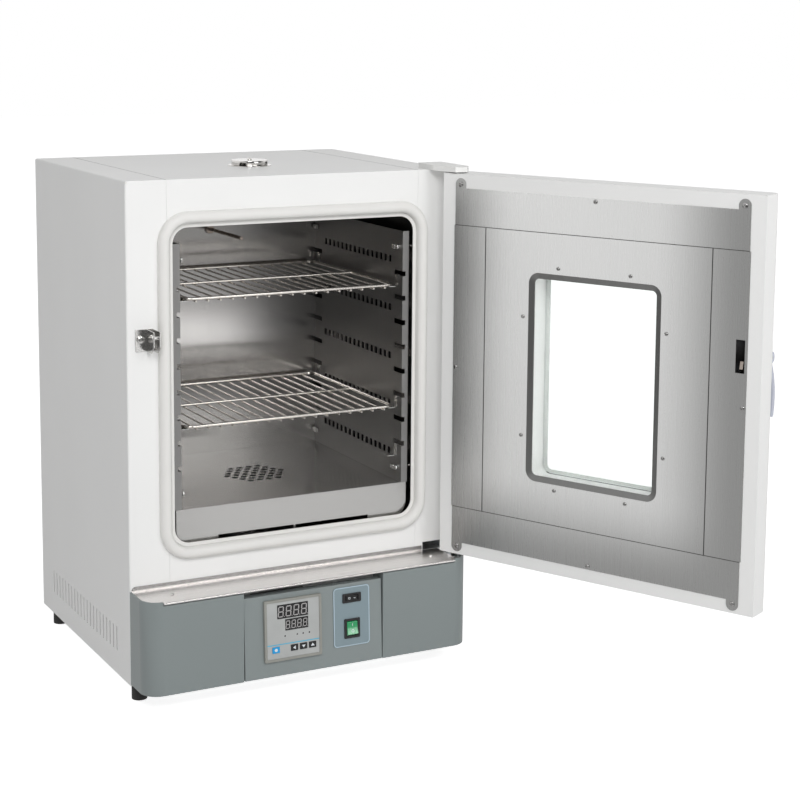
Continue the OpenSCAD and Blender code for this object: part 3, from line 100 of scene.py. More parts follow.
class Grain(Enum):
    """Which way a brushed sheet's scratches run."""

    UPRIGHT = (1500.0, 1500.0, 7.0)
    ACROSS = (7.0, 1500.0, 1500.0)
    ROUND = (420.0, 420.0, 420.0)


def hang(name: str, data: bpy.types.ID) -> bpy.types.Object:
    """Puts a new object into the scene.

    Args:
        name: Its name.
        data: Its mesh, light or camera.

    Returns:
        The object.
    """
    thing = bpy.data.objects.new(name, data)
    bpy.context.scene.collection.objects.link(thing)
    return thing


class Wiring:
    """Adds nodes to one tree and joins them."""

    def __init__(self, tree: bpy.types.NodeTree) -> None:
        """Takes a tree and empties it."""
        self.tree = tree
        self.tree.nodes.clear()

    def node(self, kind: str, **settings: object) -> bpy.types.Node:
        """Adds a node.

        Args:
            kind: The node's type.
            settings: Its plain properties and what they are set to.

        Returns:
            The new node.
        """
        made = self.tree.nodes.new(kind)
        for key, value in settings.items():
            setattr(made, key, value)
        return made

    def feed(self, target: Socket, value: Level) -> None:
        """Joins a socket to an input, or gives the input a value of its own."""
        if isinstance(value, Socket):
            self.tree.links.new(value, target)
        else:
            target.default_value = value

    def add(self, kind: str, inputs: dict[Key, Level], out: Key = 0, **settings: object) -> Socket:
        """Adds a node and fills its inputs.

        Args:
            kind: The node's type.
            inputs: Sockets or values by the input's name or number.
            out: The output that is wanted.
            settings: The node's plain properties.

        Returns:
            The output.
        """
        made = self.node(kind, **settings)
        for key, value in inputs.items():
            self.feed(made.inputs[key], value)
        return made.outputs[out]

    def reckon(self, operation: str, *terms: Level, clamp: bool = False) -> Socket:
        """Returns what a Math node makes of its terms, kept between 0 and 1 if clamp is set."""
        return self.add("ShaderNodeMath", dict(enumerate(terms)), operation=operation, use_clamp=clamp)

    def part(self, vector: Socket, axis: int) -> Socket:
        """Returns a vector's X, Y or Z, counted from 0."""
        return self.add("ShaderNodeSeparateXYZ", {0: vector}, axis)

    def mapped(self, value: Socket, limits: Range, course: str) -> Socket:
        """Maps a range of values onto another.

        Args:
            value: What is measured.
            limits: The first and last value, then the first and last result.
            course: How the result runs between them.

        Returns:
            The result.
        """
        inputs = dict(zip(("From Min", "From Max", "To Min", "To Max"), limits))
        return self.add("ShaderNodeMapRange", {"Value": value} | inputs, interpolation_type=course)

    def rise(self, value: Socket, low: float, high: float, start: float = 0.0, end: float = 1.0) -> Socket:
        """Returns a smooth step between two levels, from a value low to a value high."""
        return self.mapped(value, (low, high, start, end), "SMOOTHSTEP")

    def falloff(self, value: Socket, middle: float, fade_over: Point) -> Socket:
        """Gives 1 about a middle value, fading to 0 on both sides.

        Args:
            value: What is measured.
            middle: Where it is 1.
            fade_over: Distances from the middle at which the fade starts and ends.

        Returns:
            The share, 1 to 0.
        """
        off = self.reckon("SUBTRACT", value, middle)
        return self.rise(self.reckon("ABSOLUTE", off), *fade_over, 1.0, 0.0)

    def blend(self, share: Level, first: Level, second: Level) -> Socket:
        """Returns a mix of two levels, by the second one's share."""
        return self.add("ShaderNodeMix", {0: share, 2: first, 3: second})

    def tint(self, share: Level, first: Level, second: Level, mode: str = "MIX") -> Socket:
        """Returns a mix of two colours, by the second one's share."""
        inputs = {0: share, 6: first, 7: second}
        return self.add("ShaderNodeMix", inputs, 2, data_type="RGBA", blend_type=mode)

    def ramp(self, value: Socket, stops: tuple[Point, ...]) -> Socket:
        """Maps a value through stops.

        Args:
            value: What is measured.
            stops: (value, level) pairs, rising from 0.

        Returns:
            The level.
        """
        span = stops[-1][0]
        ramp = self.node("ShaderNodeValToRGB")
        for _ in stops[2:]:
            ramp.color_ramp.elements.new(0.5)
        for element, (at, level) in zip(ramp.color_ramp.elements, stops):
            element.position = at / span
            element.color = (level, level, level, 1.0)
        self.feed(ramp.inputs[0], self.reckon("DIVIDE", value, span))
        return ramp.outputs[0]

    def ray(self, *names: str) -> Socket:
        """Tells rays of some kinds from the others.

        Args:
            names: Outputs of the Light Path node.

        Returns:
            1 for rays of any of the named kinds.
        """
        path = self.node("ShaderNodeLightPath")
        total = path.outputs[names[0]]
        for name in names[1:]:
            total = self.reckon("ADD", total, path.outputs[name], clamp=True)
        return total


class Nodes(Wiring):
    """Builds one material's node tree round a Principled shader."""

    def __init__(self, name: str) -> None:
        """Starts a tree with the shader and its output.

        Args:
            name: The material's name.
        """
        self.material = bpy.data.materials.new(name)
        self.material.use_nodes = True
        super().__init__(self.material.node_tree)
        self.shader = self.node("ShaderNodeBsdfPrincipled")
        self.feed(self.node("ShaderNodeOutputMaterial").inputs[0], self.shader.outputs[0])
        self.place = self.add("ShaderNodeTexCoord", {}, "Object")

    def give(self, **values: Level) -> None:
        """Fills the shader's inputs; an underscore stands for a space."""
        for key, value in values.items():
            self.feed(self.shader.inputs[key.replace("_", " ")], value)

    def noise(self, scale: Triple, detail: float = 3.0, rough: float = 0.55) -> Socket:
        """Adds noise in the part's own metres.

        Args:
            scale: Waves to the metre along X, Y and Z.
            detail: Octaves of the noise.
            rough: Weight of the finer octaves.

        Returns:
            The noise's value, 0 to 1.
        """
        scaled = self.add("ShaderNodeMapping", {"Vector": self.place, "Scale": scale})
        inputs = {"Vector": scaled, "Scale": 1.0, "Detail": detail, "Roughness": rough}
        return self.add("ShaderNodeTexNoise", inputs)

    def spread(self, value: Socket, low: float, high: float) -> Socket:
        """Returns the middle of a noise, mapped onto low to high."""
        return self.mapped(value, (NOISE_LOW, NOISE_HIGH, low, high), "LINEAR")

    def shade(self, color: Color, value: Socket, contrast: Point) -> Socket:
        """Makes a colour lighter and darker with a noise.

        Args:
            color: The colour in the middle.
            value: The noise.
            contrast: Factors of the darkest and the lightest places.

        Returns:
            The shaded colour.
        """
        dark, light = (tuple(min(1.0, c * factor) for c in color[:3]) + (1.0,) for factor in contrast)
        return self.tint(self.spread(value, 0.0, 1.0), dark, light)

    def gloss(self, value: Socket, roughness: float, swing: float) -> None:
        """Varies the shader's roughness about its middle with a noise."""
        self.give(Roughness=self.spread(value, roughness - swing, roughness + swing))

    def bump(self, value: Socket, strength: float, height: float) -> None:
        """Raises the surface with a noise.

        Args:
            value: The noise.
            strength: How much of the relief shows.
            height: The relief's height in metres.
        """
        inputs = {"Strength": strength, "Distance": height, "Height": value}
        self.give(Normal=self.add("ShaderNodeBump", inputs))


@dataclass(frozen=True)
class Finish:
    """One kind of surface, under the name that nodes and pieces ask for."""

    name: str
    color: Color

    def make(self) -> bpy.types.Material:
        """Builds the material.

        Returns:
            The finished material.
        """
        nodes = Nodes(self.name)
        self.fill(nodes)
        return nodes.material

    def fill(self, nodes: Nodes) -> None:
        """Adds the nodes of this kind of surface."""
        raise NotImplementedError


@dataclass(frozen=True)
class PowderCoat(Finish):
    """Baked paint with a fine orange peel."""

    roughness: float = 0.42
    peel: float = 620.0
    height: float = 0.00012
    clouds: Point = (0.985, 1.012)

    def fill(self, nodes: Nodes) -> None:
        """Adds the paint's nodes.

        Args:
            nodes: The material's tree.
        """
        peel = nodes.noise((self.peel,) * 3, 2.0)
        cloud = nodes.noise((5.0, 5.0, 4.0), 2.0)
        nodes.give(Base_Color=nodes.shade(self.color, cloud, self.clouds))
        nodes.gloss(peel, self.roughness, 0.05)
        nodes.bump(peel, 0.35, self.height)


@dataclass(frozen=True)
class BrushedSteel(Finish):
    """Stainless sheet with straight scratches and faint rolling bands."""

    grain: Grain
    roughness: float = 0.3
    contrast: float = 0.12
    height: float = 0.00002
    stretch: float = 0.0
    about: str = "Z"

    def fill(self, nodes: Nodes) -> None:
        """Adds the sheet's nodes.

        Args:
            nodes: The material's tree.
        """
        fine = nodes.noise(self.grain.value, 5.0, 0.6)
        broad = nodes.noise(tuple(max(1.2, s * 0.16) for s in self.grain.value), 3.0)
        both = nodes.blend(0.3, fine, broad)
        nodes.gloss(both, self.roughness, 0.03)
        nodes.give(Metallic=1.0, Anisotropic=self.stretch)
        if self.stretch:
            nodes.give(Tangent=nodes.add("ShaderNodeTangent", {}, direction_type="RADIAL", axis=self.about))
        nodes.bump(fine, 0.25, self.height)
        nodes.give(Base_Color=self.surface(nodes, both))

    def streaks(self, nodes: Nodes, color: Color, scratches: Socket) -> Socket:
        """Returns a colour that is lighter and darker with the scratches."""
        return nodes.shade(color, scratches, (1.0 - self.contrast, 1.0 + self.contrast))

    def surface(self, nodes: Nodes, scratches: Socket) -> Socket:
        """Returns the sheet's colour, with the scratches in it."""
        return self.streaks(nodes, self.color, scratches)

    def blended(self, nodes: Nodes, scratches: Socket, share: Socket, pair: tuple[Color, Color]) -> Socket:
        """Returns two colours, mixed by the second one's share, with the scratches in them."""
        return nodes.tint(share, *(self.streaks(nodes, color, scratches) for color in pair))


@dataclass(frozen=True)
class LinerSteel(BrushedSteel):
    """Door lining with a painted sheen, bright in the door's middle and fading to painted shade at its rims.
    """

    rim_shade: Color = (0.2, 0.2, 0.2, 1.0)
    middle: Point = (0.02, 0.55)
    across_fade: Point = (0.115, 0.262)
    up_fade: Point = (0.21, 0.345)

    def surface(self, nodes: Nodes, scratches: Socket) -> Socket:
        """Colours the five sheets as one, with a painted sheen in the door's middle and painted shade at its
        rims.

        Args:
            nodes: The material's tree.
            scratches: The scratches' strength.

        Returns:
            The colour.
        """
        inputs = {"Location": HINGE, "Rotation": (0.0, 0.0, DOOR_TURN), "Vector": nodes.place}
        place = nodes.add("ShaderNodeMapping", inputs, vector_type="TEXTURE")
        across = nodes.falloff(nodes.part(place, 0), self.middle[0] - HINGE.x, self.across_fade)
        up = nodes.falloff(nodes.part(place, 2), self.middle[1], self.up_fade)
        share = nodes.reckon("MULTIPLY", across, up)
        return self.blended(nodes, scratches, share, (self.rim_shade, self.color))


@dataclass(frozen=True)
class TraySteel(BrushedSteel):
    """Tray sheet whose upstand has painted shade, darker than its flat."""

    upstand_shade: Color = (0.3, 0.3, 0.3, 1.0)
    bend: Point = (0.1782, 0.1798)

    def surface(self, nodes: Nodes, scratches: Socket) -> Socket:
        """Returns the flat's colour and, above the bend, the upstand's painted shade."""
        share = nodes.rise(nodes.part(nodes.place, 2), *self.bend)
        return self.blended(nodes, scratches, share, (self.color, self.upstand_shade))


@dataclass(frozen=True)
class Moulding(Finish):
    """Moulded plastic, rubber or silicone with a fine spark-eroded skin."""

    roughness: float = 0.5
    speckle: float = 1400.0
    height: float = 0.00004
    coat: float = 0.0
    clouds: float = 0.05

    def fill(self, nodes: Nodes) -> None:
        """Adds the moulding's nodes.

        Args:
            nodes: The material's tree.
        """
        skin = nodes.noise((self.speckle,) * 3)
        cloud = nodes.noise((24.0,) * 3, 2.0)
        nodes.give(Base_Color=nodes.shade(self.color, cloud, (1.0 - self.clouds, 1.0 + self.clouds)))
        nodes.gloss(skin, self.roughness, 0.06)
        nodes.give(Coat_Weight=self.coat)
        nodes.bump(skin, 0.3, self.height)


@dataclass(frozen=True)
class ClearGlass(Finish):
    """Float glass with faint streaks from wiping."""

    bending: float = 1.1

    def fill(self, nodes: Nodes) -> None:
        """Adds the pane's nodes.

        Args:
            nodes: The material's tree.
        """
        wipe = nodes.noise((14.0, 14.0, 3.0), 4.0)
        nodes.give(Base_Color=nodes.shade(self.color, wipe, (0.985, 1.0)))
        nodes.give(Roughness=nodes.spread(wipe, 0.0, 0.012), Transmission_Weight=1.0, IOR=self.bending)


@dataclass(frozen=True)
class LampLens(Finish):
    """Green rocker lens: deep at its head, pale towards its foot, ribbed inside."""

    pale: Color
    foot: float
    head: float
    ribs: float = 70.0

    def fill(self, nodes: Nodes) -> None:
        """Adds the lens's nodes.

        Args:
            nodes: The material's tree.
        """
        share = nodes.rise(nodes.part(nodes.place, 2), self.foot, self.head)
        tone = nodes.tint(share, self.pale, self.color)
        inputs = {"Scale": self.ribs, "Vector": nodes.place}
        ribs = nodes.add("ShaderNodeTexWave", inputs, bands_direction="X")
        rough = nodes.spread(nodes.noise((900.0,) * 3), 0.12, 0.2)
        nodes.give(Base_Color=nodes.tint(0.18, tone, ribs, "MULTIPLY"), Roughness=rough, Coat_Weight=0.6)


@dataclass(frozen=True)
class MineralWool(Finish):
    """Packed fibre blanket."""

    def fill(self, nodes: Nodes) -> None:
        """Adds the blanket's nodes.

        Args:
            nodes: The material's tree.
        """
        fibre = nodes.noise((260.0, 900.0, 260.0), 6.0, 0.7)
        nodes.give(Base_Color=nodes.shade(self.color, fibre, (0.75, 1.15)), Roughness=0.95)
        nodes.bump(fibre, 0.8, 0.0015)


FINISHES = {finish.name: finish for finish in (
    PowderCoat("cabinet white", srgb(244, 244, 243)),
    PowderCoat("door white", srgb(244, 244, 243)),
    PowderCoat("plinth grey", srgb(134, 142, 142), 0.38, 700.0, 0.00008),
    PowderCoat("panel grey", srgb(137, 145, 145), 0.36, 700.0, 0.00008),
    PowderCoat("switch plate blue", srgb(133, 150, 157), 0.4, 900.0, 0.00006),
    PowderCoat("bracket white", srgb(246, 246, 244), 0.45),
    PowderCoat("handle silver", srgb(196, 200, 214), 0.32, 1100.0, 0.00005),
    PowderCoat("motor grey", srgb(92, 95, 98), 0.5, 400.0, 0.0002),
    # The liner's bright colour and its rim colour are a painted reflection: sheen in the door's middle, shade
    # at its rims
    LinerSteel("liner steel", srgb(225, 225, 224), Grain.UPRIGHT, 0.28, 0.05, rim_shade=srgb(160, 160, 159)),
    BrushedSteel("back wall steel", srgb(186, 184, 182), Grain.UPRIGHT, 0.19, 0.06, 0.000004, 1.0),
    BrushedSteel("duct steel", srgb(156, 155, 154), Grain.UPRIGHT, 0.32, 0.05, 0.00001),
    BrushedSteel("floor steel", srgb(192, 191, 189), Grain.ACROSS, 0.2, 0.05, 0.000003, 0.8, "X"),
    # The tray's upstand colour is painted shade on the same steel as its flat
    TraySteel("tray steel", srgb(232, 229, 227), Grain.ACROSS, 0.26, 0.04, upstand_shade=srgb(154, 153, 152)),
    BrushedSteel("window trim", srgb(128, 128, 127), Grain.UPRIGHT, 0.36, 0.1),
    BrushedSteel("screw steel", srgb(164, 163, 162), Grain.ROUND, 0.16, 0.05, 0.00001),
    BrushedSteel("probe steel", srgb(158, 148, 140), Grain.ROUND, 0.26, 0.08, 0.00001),
    BrushedSteel("bright steel", srgb(214, 213, 211), Grain.ROUND, 0.2, 0.05, 0.00001),
    BrushedSteel("vent steel", srgb(214, 212, 209), Grain.ROUND, 0.16, 0.06, 0.00001),
    BrushedSteel("wire chrome", srgb(222, 217, 211), Grain.ROUND, 0.14, 0.05, 0.00001),
    BrushedSteel("zinc", srgb(178, 180, 183), Grain.ROUND, 0.42, 0.12),
    BrushedSteel("heater sheath", srgb(120, 108, 100), Grain.ROUND, 0.5, 0.2),
    Moulding("gasket silicone", srgb(233, 232, 229), 0.5, 500.0, 0.00006, clouds=0.008),
    # Dark strips in the joints of the door liner: painted shadow of the gaps
    Moulding("liner gap shadow", srgb(52, 50, 49), 0.6, 500.0, 0.00002),
    # Grey strips in the top panel's seams: painted shadow of the gaps
    Moulding("top gap shadow", srgb(112, 112, 111), 0.7, 500.0, 0.00002),
    Moulding("foot rubber", srgb(44, 43, 43), 0.72, 700.0, 0.0001),
    Moulding("black nylon", srgb(32, 31, 32), 0.42),
    Moulding("key black", srgb(30, 30, 31), 0.5),
    Moulding("key blue", srgb(18, 156, 220), 0.36, coat=0.2),
    Moulding("bezel grey", srgb(150, 150, 144), 0.48),
    Moulding("face film", srgb(180, 182, 181), 0.46, 2200.0, 0.00002),
    Moulding("display smoke", srgb(14, 13, 14), 0.3, 300.0, 0.000005),
    Moulding("segment grey", srgb(172, 170, 170), 0.4, 2600.0, 0.00001),
    Moulding("stripe blue", srgb(96, 178, 208), 0.42, 2600.0, 0.00001),
    Moulding("print white", srgb(226, 232, 236), 0.42, 2600.0, 0.00001),
    Moulding("plate line", srgb(182, 200, 212), 0.42, 2600.0, 0.00001),
    Moulding("indicator", srgb(48, 44, 44), 0.2, 900.0, 0.00001, 0.5),
    LampLens("rocker lens", srgb(12, 158, 92), srgb(158, 226, 182), 0.0775, 0.0965),
    ClearGlass("window glass", srgb(252, 254, 253)),
    MineralWool("mineral wool", srgb(214, 206, 158)),
)}


# Corners closer than this, in metres, are one before a node's edges are softened

WELD_WITHIN = 0.000002

# Faces that bend less are one, edges that bend more are softened

FLAT_UNDER = math.radians(0.4)
SHARP_OVER = math.radians(42)

# Edges of a new piece that bend less look round

ROUND_UNDER = math.radians(35.0)


class Finisher:
    """Makes each finish once and puts it on nodes and pieces."""

    def __init__(self) -> None:
        """Starts with no material made."""
        self.made: dict[str, bpy.types.Material] = {}

    def coat(self, thing: bpy.types.Object, finish: str) -> None:
        """Gives every slot of an object one finish, which is made at its first use.

        Args:
            thing: The object.
            finish: The finish's name.
        """
        if finish not in self.made:
            self.made[finish] = FINISHES[finish].make()
        if not thing.material_slots:
            thing.data.materials.append(self.made[finish])
        for slot in thing.material_slots:
            slot.material = self.made[finish]

    def soften(self, thing: bpy.types.Object, edge: float, turns: int) -> None:
        """Rounds an object's sharp edges.

        Args:
            thing: The object.
            edge: Width of the softened edges in millimetres.
            turns: Facets across a softened edge.
        """
        weld = thing.modifiers.new("weld", "WELD")
        weld.merge_threshold = WELD_WITHIN
        flat = thing.modifiers.new("flat", "DECIMATE")
        flat.decimate_type = "DISSOLVE"
        flat.angle_limit = FLAT_UNDER
        bevel = thing.modifiers.new("edge", "BEVEL")
        bevel.width = edge * MM
        bevel.segments = turns
        bevel.limit_method = "ANGLE"
        bevel.angle_limit = SHARP_OVER
        bevel.use_clamp_overlap = True

    def nodes(self, finish: str, *names: str, edge: float = 0.0, turns: int = 2) -> None:
        """Dresses carried-over nodes.

        Args:
            finish: The finish they get.
            names: Their names in the record.
            edge: Width of the softened edges in millimetres, 0 for none.
            turns: Facets across a softened edge.
        """
        for name in names:
            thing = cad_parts[name]
            self.coat(thing, finish)
            if edge:
                self.soften(thing, edge, turns)


FINISHER = Finisher()


class Piece:
    """Collects the mesh of one piece, drawn in metres in the part's own frame."""

    def __init__(self, name: str) -> None:
        """Starts an empty mesh."""
        self.name = name
        self.mesh = bmesh.new()

    def ring(self, line: Outline, height: float, place: Matrix) -> Ring:
        """Returns new corners on an outline, all at one height."""
        return [self.mesh.verts.new(place @ Vector((x, y, height))) for x, y in line]

    def skin(self, below: Ring, above: Ring) -> None:
        """Joins two rings with faces.

        Args:
            below: One ring.
            above: The other, with as many corners; either may be a single tip.
        """
        steps = max(len(below), len(above))
        for i in range(steps):
            j = (i + 1) % steps
            if len(below) == 1:
                corners = (below[0], above[j], above[i])
            elif len(above) == 1:
                corners = (below[i], below[j], above[0])
            else:
                corners = (below[i], below[j], above[j], above[i])
            self.mesh.faces.new(corners)

    def prism(self, outline: Outline, low: float, high: float, place: Matrix, edge: float = 0.0) -> None:
        """Adds an upright solid on an outline.

        Args:
            outline: Corners, anticlockwise.
            low: Where it starts along the place's third axis.
            high: Where it ends.
            place: Matrix from the outline's frame to the part's.
            edge: Inset of a chamfer at the high end.
        """
        levels = [self.ring(outline, low, place), self.ring(outline, high - edge, place)]
        if edge:
            levels.append(self.ring(inset(outline, edge), high, place))
        for below, above in zip(levels, levels[1:]):
            self.skin(below, above)
        self.mesh.faces.new(list(reversed(levels[0])))
        self.mesh.faces.new(levels[-1])

    def band(self, outer: Outline, inner: Outline, low: float, high: float, place: Matrix) -> None:
        """Adds a flat frame between two outlines.

        Args:
            outer: Corners of its outer side.
            inner: As many corners of its inner side.
            low: Where it starts along the place's third axis.
            high: Where it ends.
            place: Matrix from the outlines' frame to the part's.
        """
        corners = ((outer, low), (outer, high), (inner, high), (inner, low))
        levels = [self.ring(line, height, place) for line, height in corners]
        for here, there in zip(levels, levels[1:] + levels[:1]):
            self.skin(here, there)

    def lathe(self, profile: Outline, place: Matrix, steps: int) -> None:
        """Adds a solid of revolution about the place's third axis.

        Args:
            profile: (radius, height) from the foot to the tip; radius 0 closes an end.
            place: Matrix from the profile's frame to the part's.
            steps: Facets round the axis.
        """
        levels = []
        for radius, height in profile:
            line = disc(radius, steps=steps) if radius else [(0.0, 0.0)]
            levels.append(self.ring(line, height, place))
        for below, above in zip(levels, levels[1:]):
            self.skin(below, above)

    def graft(self, mesh: bpy.types.Mesh, place: Matrix) -> None:
        """Adds a copy of a finished mesh.

        Args:
            mesh: The mesh.
            place: Matrix from its frame to the part's.
        """
        start = len(self.mesh.verts)
        self.mesh.from_mesh(mesh)
        self.mesh.verts.ensure_lookup_table()
        for vert in self.mesh.verts[start:]:
            vert.co = place @ vert.co

    def solid(self) -> bpy.types.Object:
        """Turns the collected mesh into an object, with round and sharp edges told apart.

        Returns:
            The new object.
        """
        bmesh.ops.recalc_face_normals(self.mesh, faces=self.mesh.faces)
        for edge in self.mesh.edges:
            edge.smooth = len(edge.link_faces) == 2 and edge.calc_face_angle(4.0) < ROUND_UNDER
        for face in self.mesh.faces:
            face.smooth = True
        data = bpy.data.meshes.new(self.name)
        self.mesh.to_mesh(data)
        self.mesh.free()
        return hang(self.name, data)

    def done(self, body: str, finish: str) -> bpy.types.Object:
        """Makes the object and ties it to its body.

        Args:
            body: The body it moves with.
            finish: The finish it gets.

        Returns:
            The new object.
        """
        thing = self.solid()
        FINISHER.coat(thing, finish)
        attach(thing, body)
        LOG.info("%s rides on %s, %d faces", self.name, body, len(thing.data.polygons))
        return thing


# Places and outlines

def spot(x: float, y: float, z: float) -> Matrix:
    """Returns the move to a place given in millimetres."""
    return Matrix.Translation((x * MM, y * MM, z * MM))


def oblong(width: float, height: float, radius: float, at: Point, steps: int) -> Outline:
    """Draws a rectangle with round corners.

    Args:
        width: Its width.
        height: Its height.
        radius: Radius of its corners.
        at: Its middle.
        steps: Facets of one corner.

    Returns:
        The outline's corners, anticlockwise.
    """
    points = []
    for turn, (sx, sy) in enumerate(((1, 1), (-1, 1), (-1, -1), (1, -1))):
        cx = at[0] + sx * (width / 2 - radius)
        cy = at[1] + sy * (height / 2 - radius)
        for i in range(steps + 1):
            angle = math.pi / 2 * (turn + i / steps)
            points.append((cx + radius * math.cos(angle), cy + radius * math.sin(angle)))
    return points


def square(left: float, right: float, low: float, high: float) -> Outline:
    """Returns a rectangle with sharp corners, anticlockwise."""
    return [(left, low), (right, low), (right, high), (left, high)]


def disc(radius: float, at: Point = (0.0, 0.0), steps: int = 28) -> Outline:
    """Returns a circle's corners, anticlockwise, about a middle point."""
    angles = [2 * math.pi * i / steps for i in range(steps)]
    return [(at[0] + radius * math.cos(angle), at[1] + radius * math.sin(angle)) for angle in angles]


def inset(outline: Outline, by: float) -> Outline:
    """Moves an outline inward, corner by corner.

    Args:
        outline: Corners, anticlockwise.
        by: How far it moves.

    Returns:
        As many corners.
    """
    least = 0.4
    result = []
    for before, here, after in zip(outline[-1:] + outline[:-1], outline, outline[1:] + outline[:1]):
        pairs = ((before, here), (here, after))
        first, second = (Vector((b[1] - a[1], a[0] - b[0])).normalized() for a, b in pairs)
        way = first + second
        way = way / max(least, way.length_squared / 2) if way.length else first
        result.append((here[0] - way.x * by, here[1] - way.y * by))
    return result


def segments(width: float, height: float, bar: float, at: Point, slant: float) -> list[Outline]:
    """Draws the seven bars of one display digit.

    Args:
        width: Width over the digit.
        height: Height over the digit.
        bar: Width of a bar.
        at: The digit's middle.
        slant: Shift to the right for each unit of height.

    Returns:
        One outline for each bar.
    """
    gap, half = bar * 0.1, bar / 2
    right, top = width / 2 - half, height / 2 - half

    def spindle(low: float, high: float) -> Outline:
        """Returns a bar along the first axis, pointed at both ends."""
        return [(low, 0.0), (low + half, -half), (high - half, -half),
                (high, 0.0), (high - half, half), (low + half, half)]

    uprights = (spindle(gap, top - gap), spindle(-top + gap, -gap))
    bars = [[(x, z + y) for x, y in spindle(-right + gap, right - gap)] for z in (top, 0.0, -top)]
    bars += [[(x - y, z) for z, y in upright] for x in (-right, right) for upright in uprights]
    return [[(at[0] + x + slant * z, at[1] + z) for x, z in outline] for outline in bars]


def cross_head(radius: float, height: float) -> bpy.types.Mesh:
    """Makes a domed screw head with a cross recess, its foot at the origin.

    Args:
        radius: Radius of the head in millimetres.
        height: Height of the dome in millimetres.

    Returns:
        The mesh of one head.
    """
    radius, height = radius * MM, height * MM
    upright, steps = Matrix.Identity(4), 6
    profile = [(0.0, 0.0), (radius, 0.0), (radius, height * 0.3)]
    for i in range(1, steps):
        angle = math.pi / 2 * i / steps
        profile.append((radius * math.cos(angle) ** 0.7, height * (0.3 + 0.7 * math.sin(angle))))
    profile.append((0.0, height))
    dome = Piece("head")
    dome.lathe(profile, upright, 28)
    arm, slot = radius * 0.55, radius * 0.13
    quarter = [(slot, slot), (slot, arm), (-slot, arm)]
    cross: Outline = []
    for _ in range(4):
        cross += quarter
        quarter = [(-y, x) for x, y in quarter]
    recess = Piece("recess")
    recess.prism(cross, height * 0.35, height * 1.4, upright)
    head, tool = dome.solid(), recess.solid()
    cut = head.modifiers.new("cut", "BOOLEAN")
    cut.object, cut.operation, cut.solver = tool, "DIFFERENCE", "EXACT"
    graph = bpy.context.evaluated_depsgraph_get()
    result = bpy.data.meshes.new_from_object(head.evaluated_get(graph))
    for thing in (head, tool):
        bpy.data.objects.remove(thing)
    return result


@dataclass
class Cabinet:
    """Painted housing, its feet, hinge hardware, striker and back."""

    back_y: float = 218.5
    inlet: Triple = (200.0, 219.9, 90.0)
    inlet_half: float = 19.5
    striker: Triple = (-254.0, -223.6, 561.0)
    seam_half: float = 0.5
    seam_out: float = 0.2
    seam_levels: Point = (-0.3, 0.06)

    def dress(self) -> None:
        """Finishes the housing's nodes."""
        shells = ("left_side_shell", "right_side_shell", "top_panel", "back_panel", "front_frame")
        FINISHER.nodes("cabinet white", *shells)
        FINISHER.nodes("bracket white", "upper_hinge_bracket", edge=1.2, turns=3)
        FINISHER.nodes("zinc", "base_pan", "insulation_deck", "lower_hinge_bracket", "foot_studs")
        FINISHER.nodes("bright steel", "hinge_pins")
        FINISHER.nodes("bright steel", "latch_striker", edge=0.3)
        FINISHER.nodes("foot rubber", "rubber_feet", edge=0.8)
        FINISHER.nodes("mineral wool", "insulation")
        FINISHER.nodes("black nylon", "power_inlet", edge=0.4)

    def build_top_seam_shadows(self) -> None:
        """Lays grey strips in the seams between the top panel and the side sheets, painted shadow of the
        gaps.
        """
        low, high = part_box("top_panel")
        half, out = self.seam_half * MM, self.seam_out * MM
        foot, top = (high[2] + level * MM for level in self.seam_levels)
        piece = Piece("top_seam_shadows")
        for x in (low[0] - out, high[0] + out):
            strip = square(x - half, x + half, low[1] + MM, high[1] - MM)
            piece.prism(strip, foot, top, Matrix.Identity(4))
        piece.done("cabinet", "top gap shadow")

    def build_heads(self, name: str, size: Point, places: list[Matrix]) -> None:
        """Adds cross heads.

        Args:
            name: The piece's name.
            size: Radius and height of a head in millimetres.
            places: Where the heads' feet are.
        """
        head = cross_head(*size)
        piece = Piece(name)
        for place in places:
            piece.graft(head, place)
        piece.done("cabinet", "bright steel")

    def build(self) -> None:
        """Builds and dresses the whole housing."""
        self.dress()
        self.build_top_seam_shadows()
        rows = [(x, z) for x in (-240, -80, 80, 240) for z in (44, 782)]
        rows += [(x, z) for x in (-252, 252) for z in (240, 440, 640)]
        x, y, z = self.inlet
        sides = (x - self.inlet_half, x + self.inlet_half)
        self.build_heads("back_screws", (3.4, 1.9), [spot(a, self.back_y, b) @ TO_BACK for a, b in rows])
        self.build_heads("inlet_screws", (2.6, 1.5), [spot(side, y, z) @ TO_BACK for side in sides])
        self.build_heads("striker_screw", (5.4, 3.2), [spot(*self.striker) @ TO_FRONT])


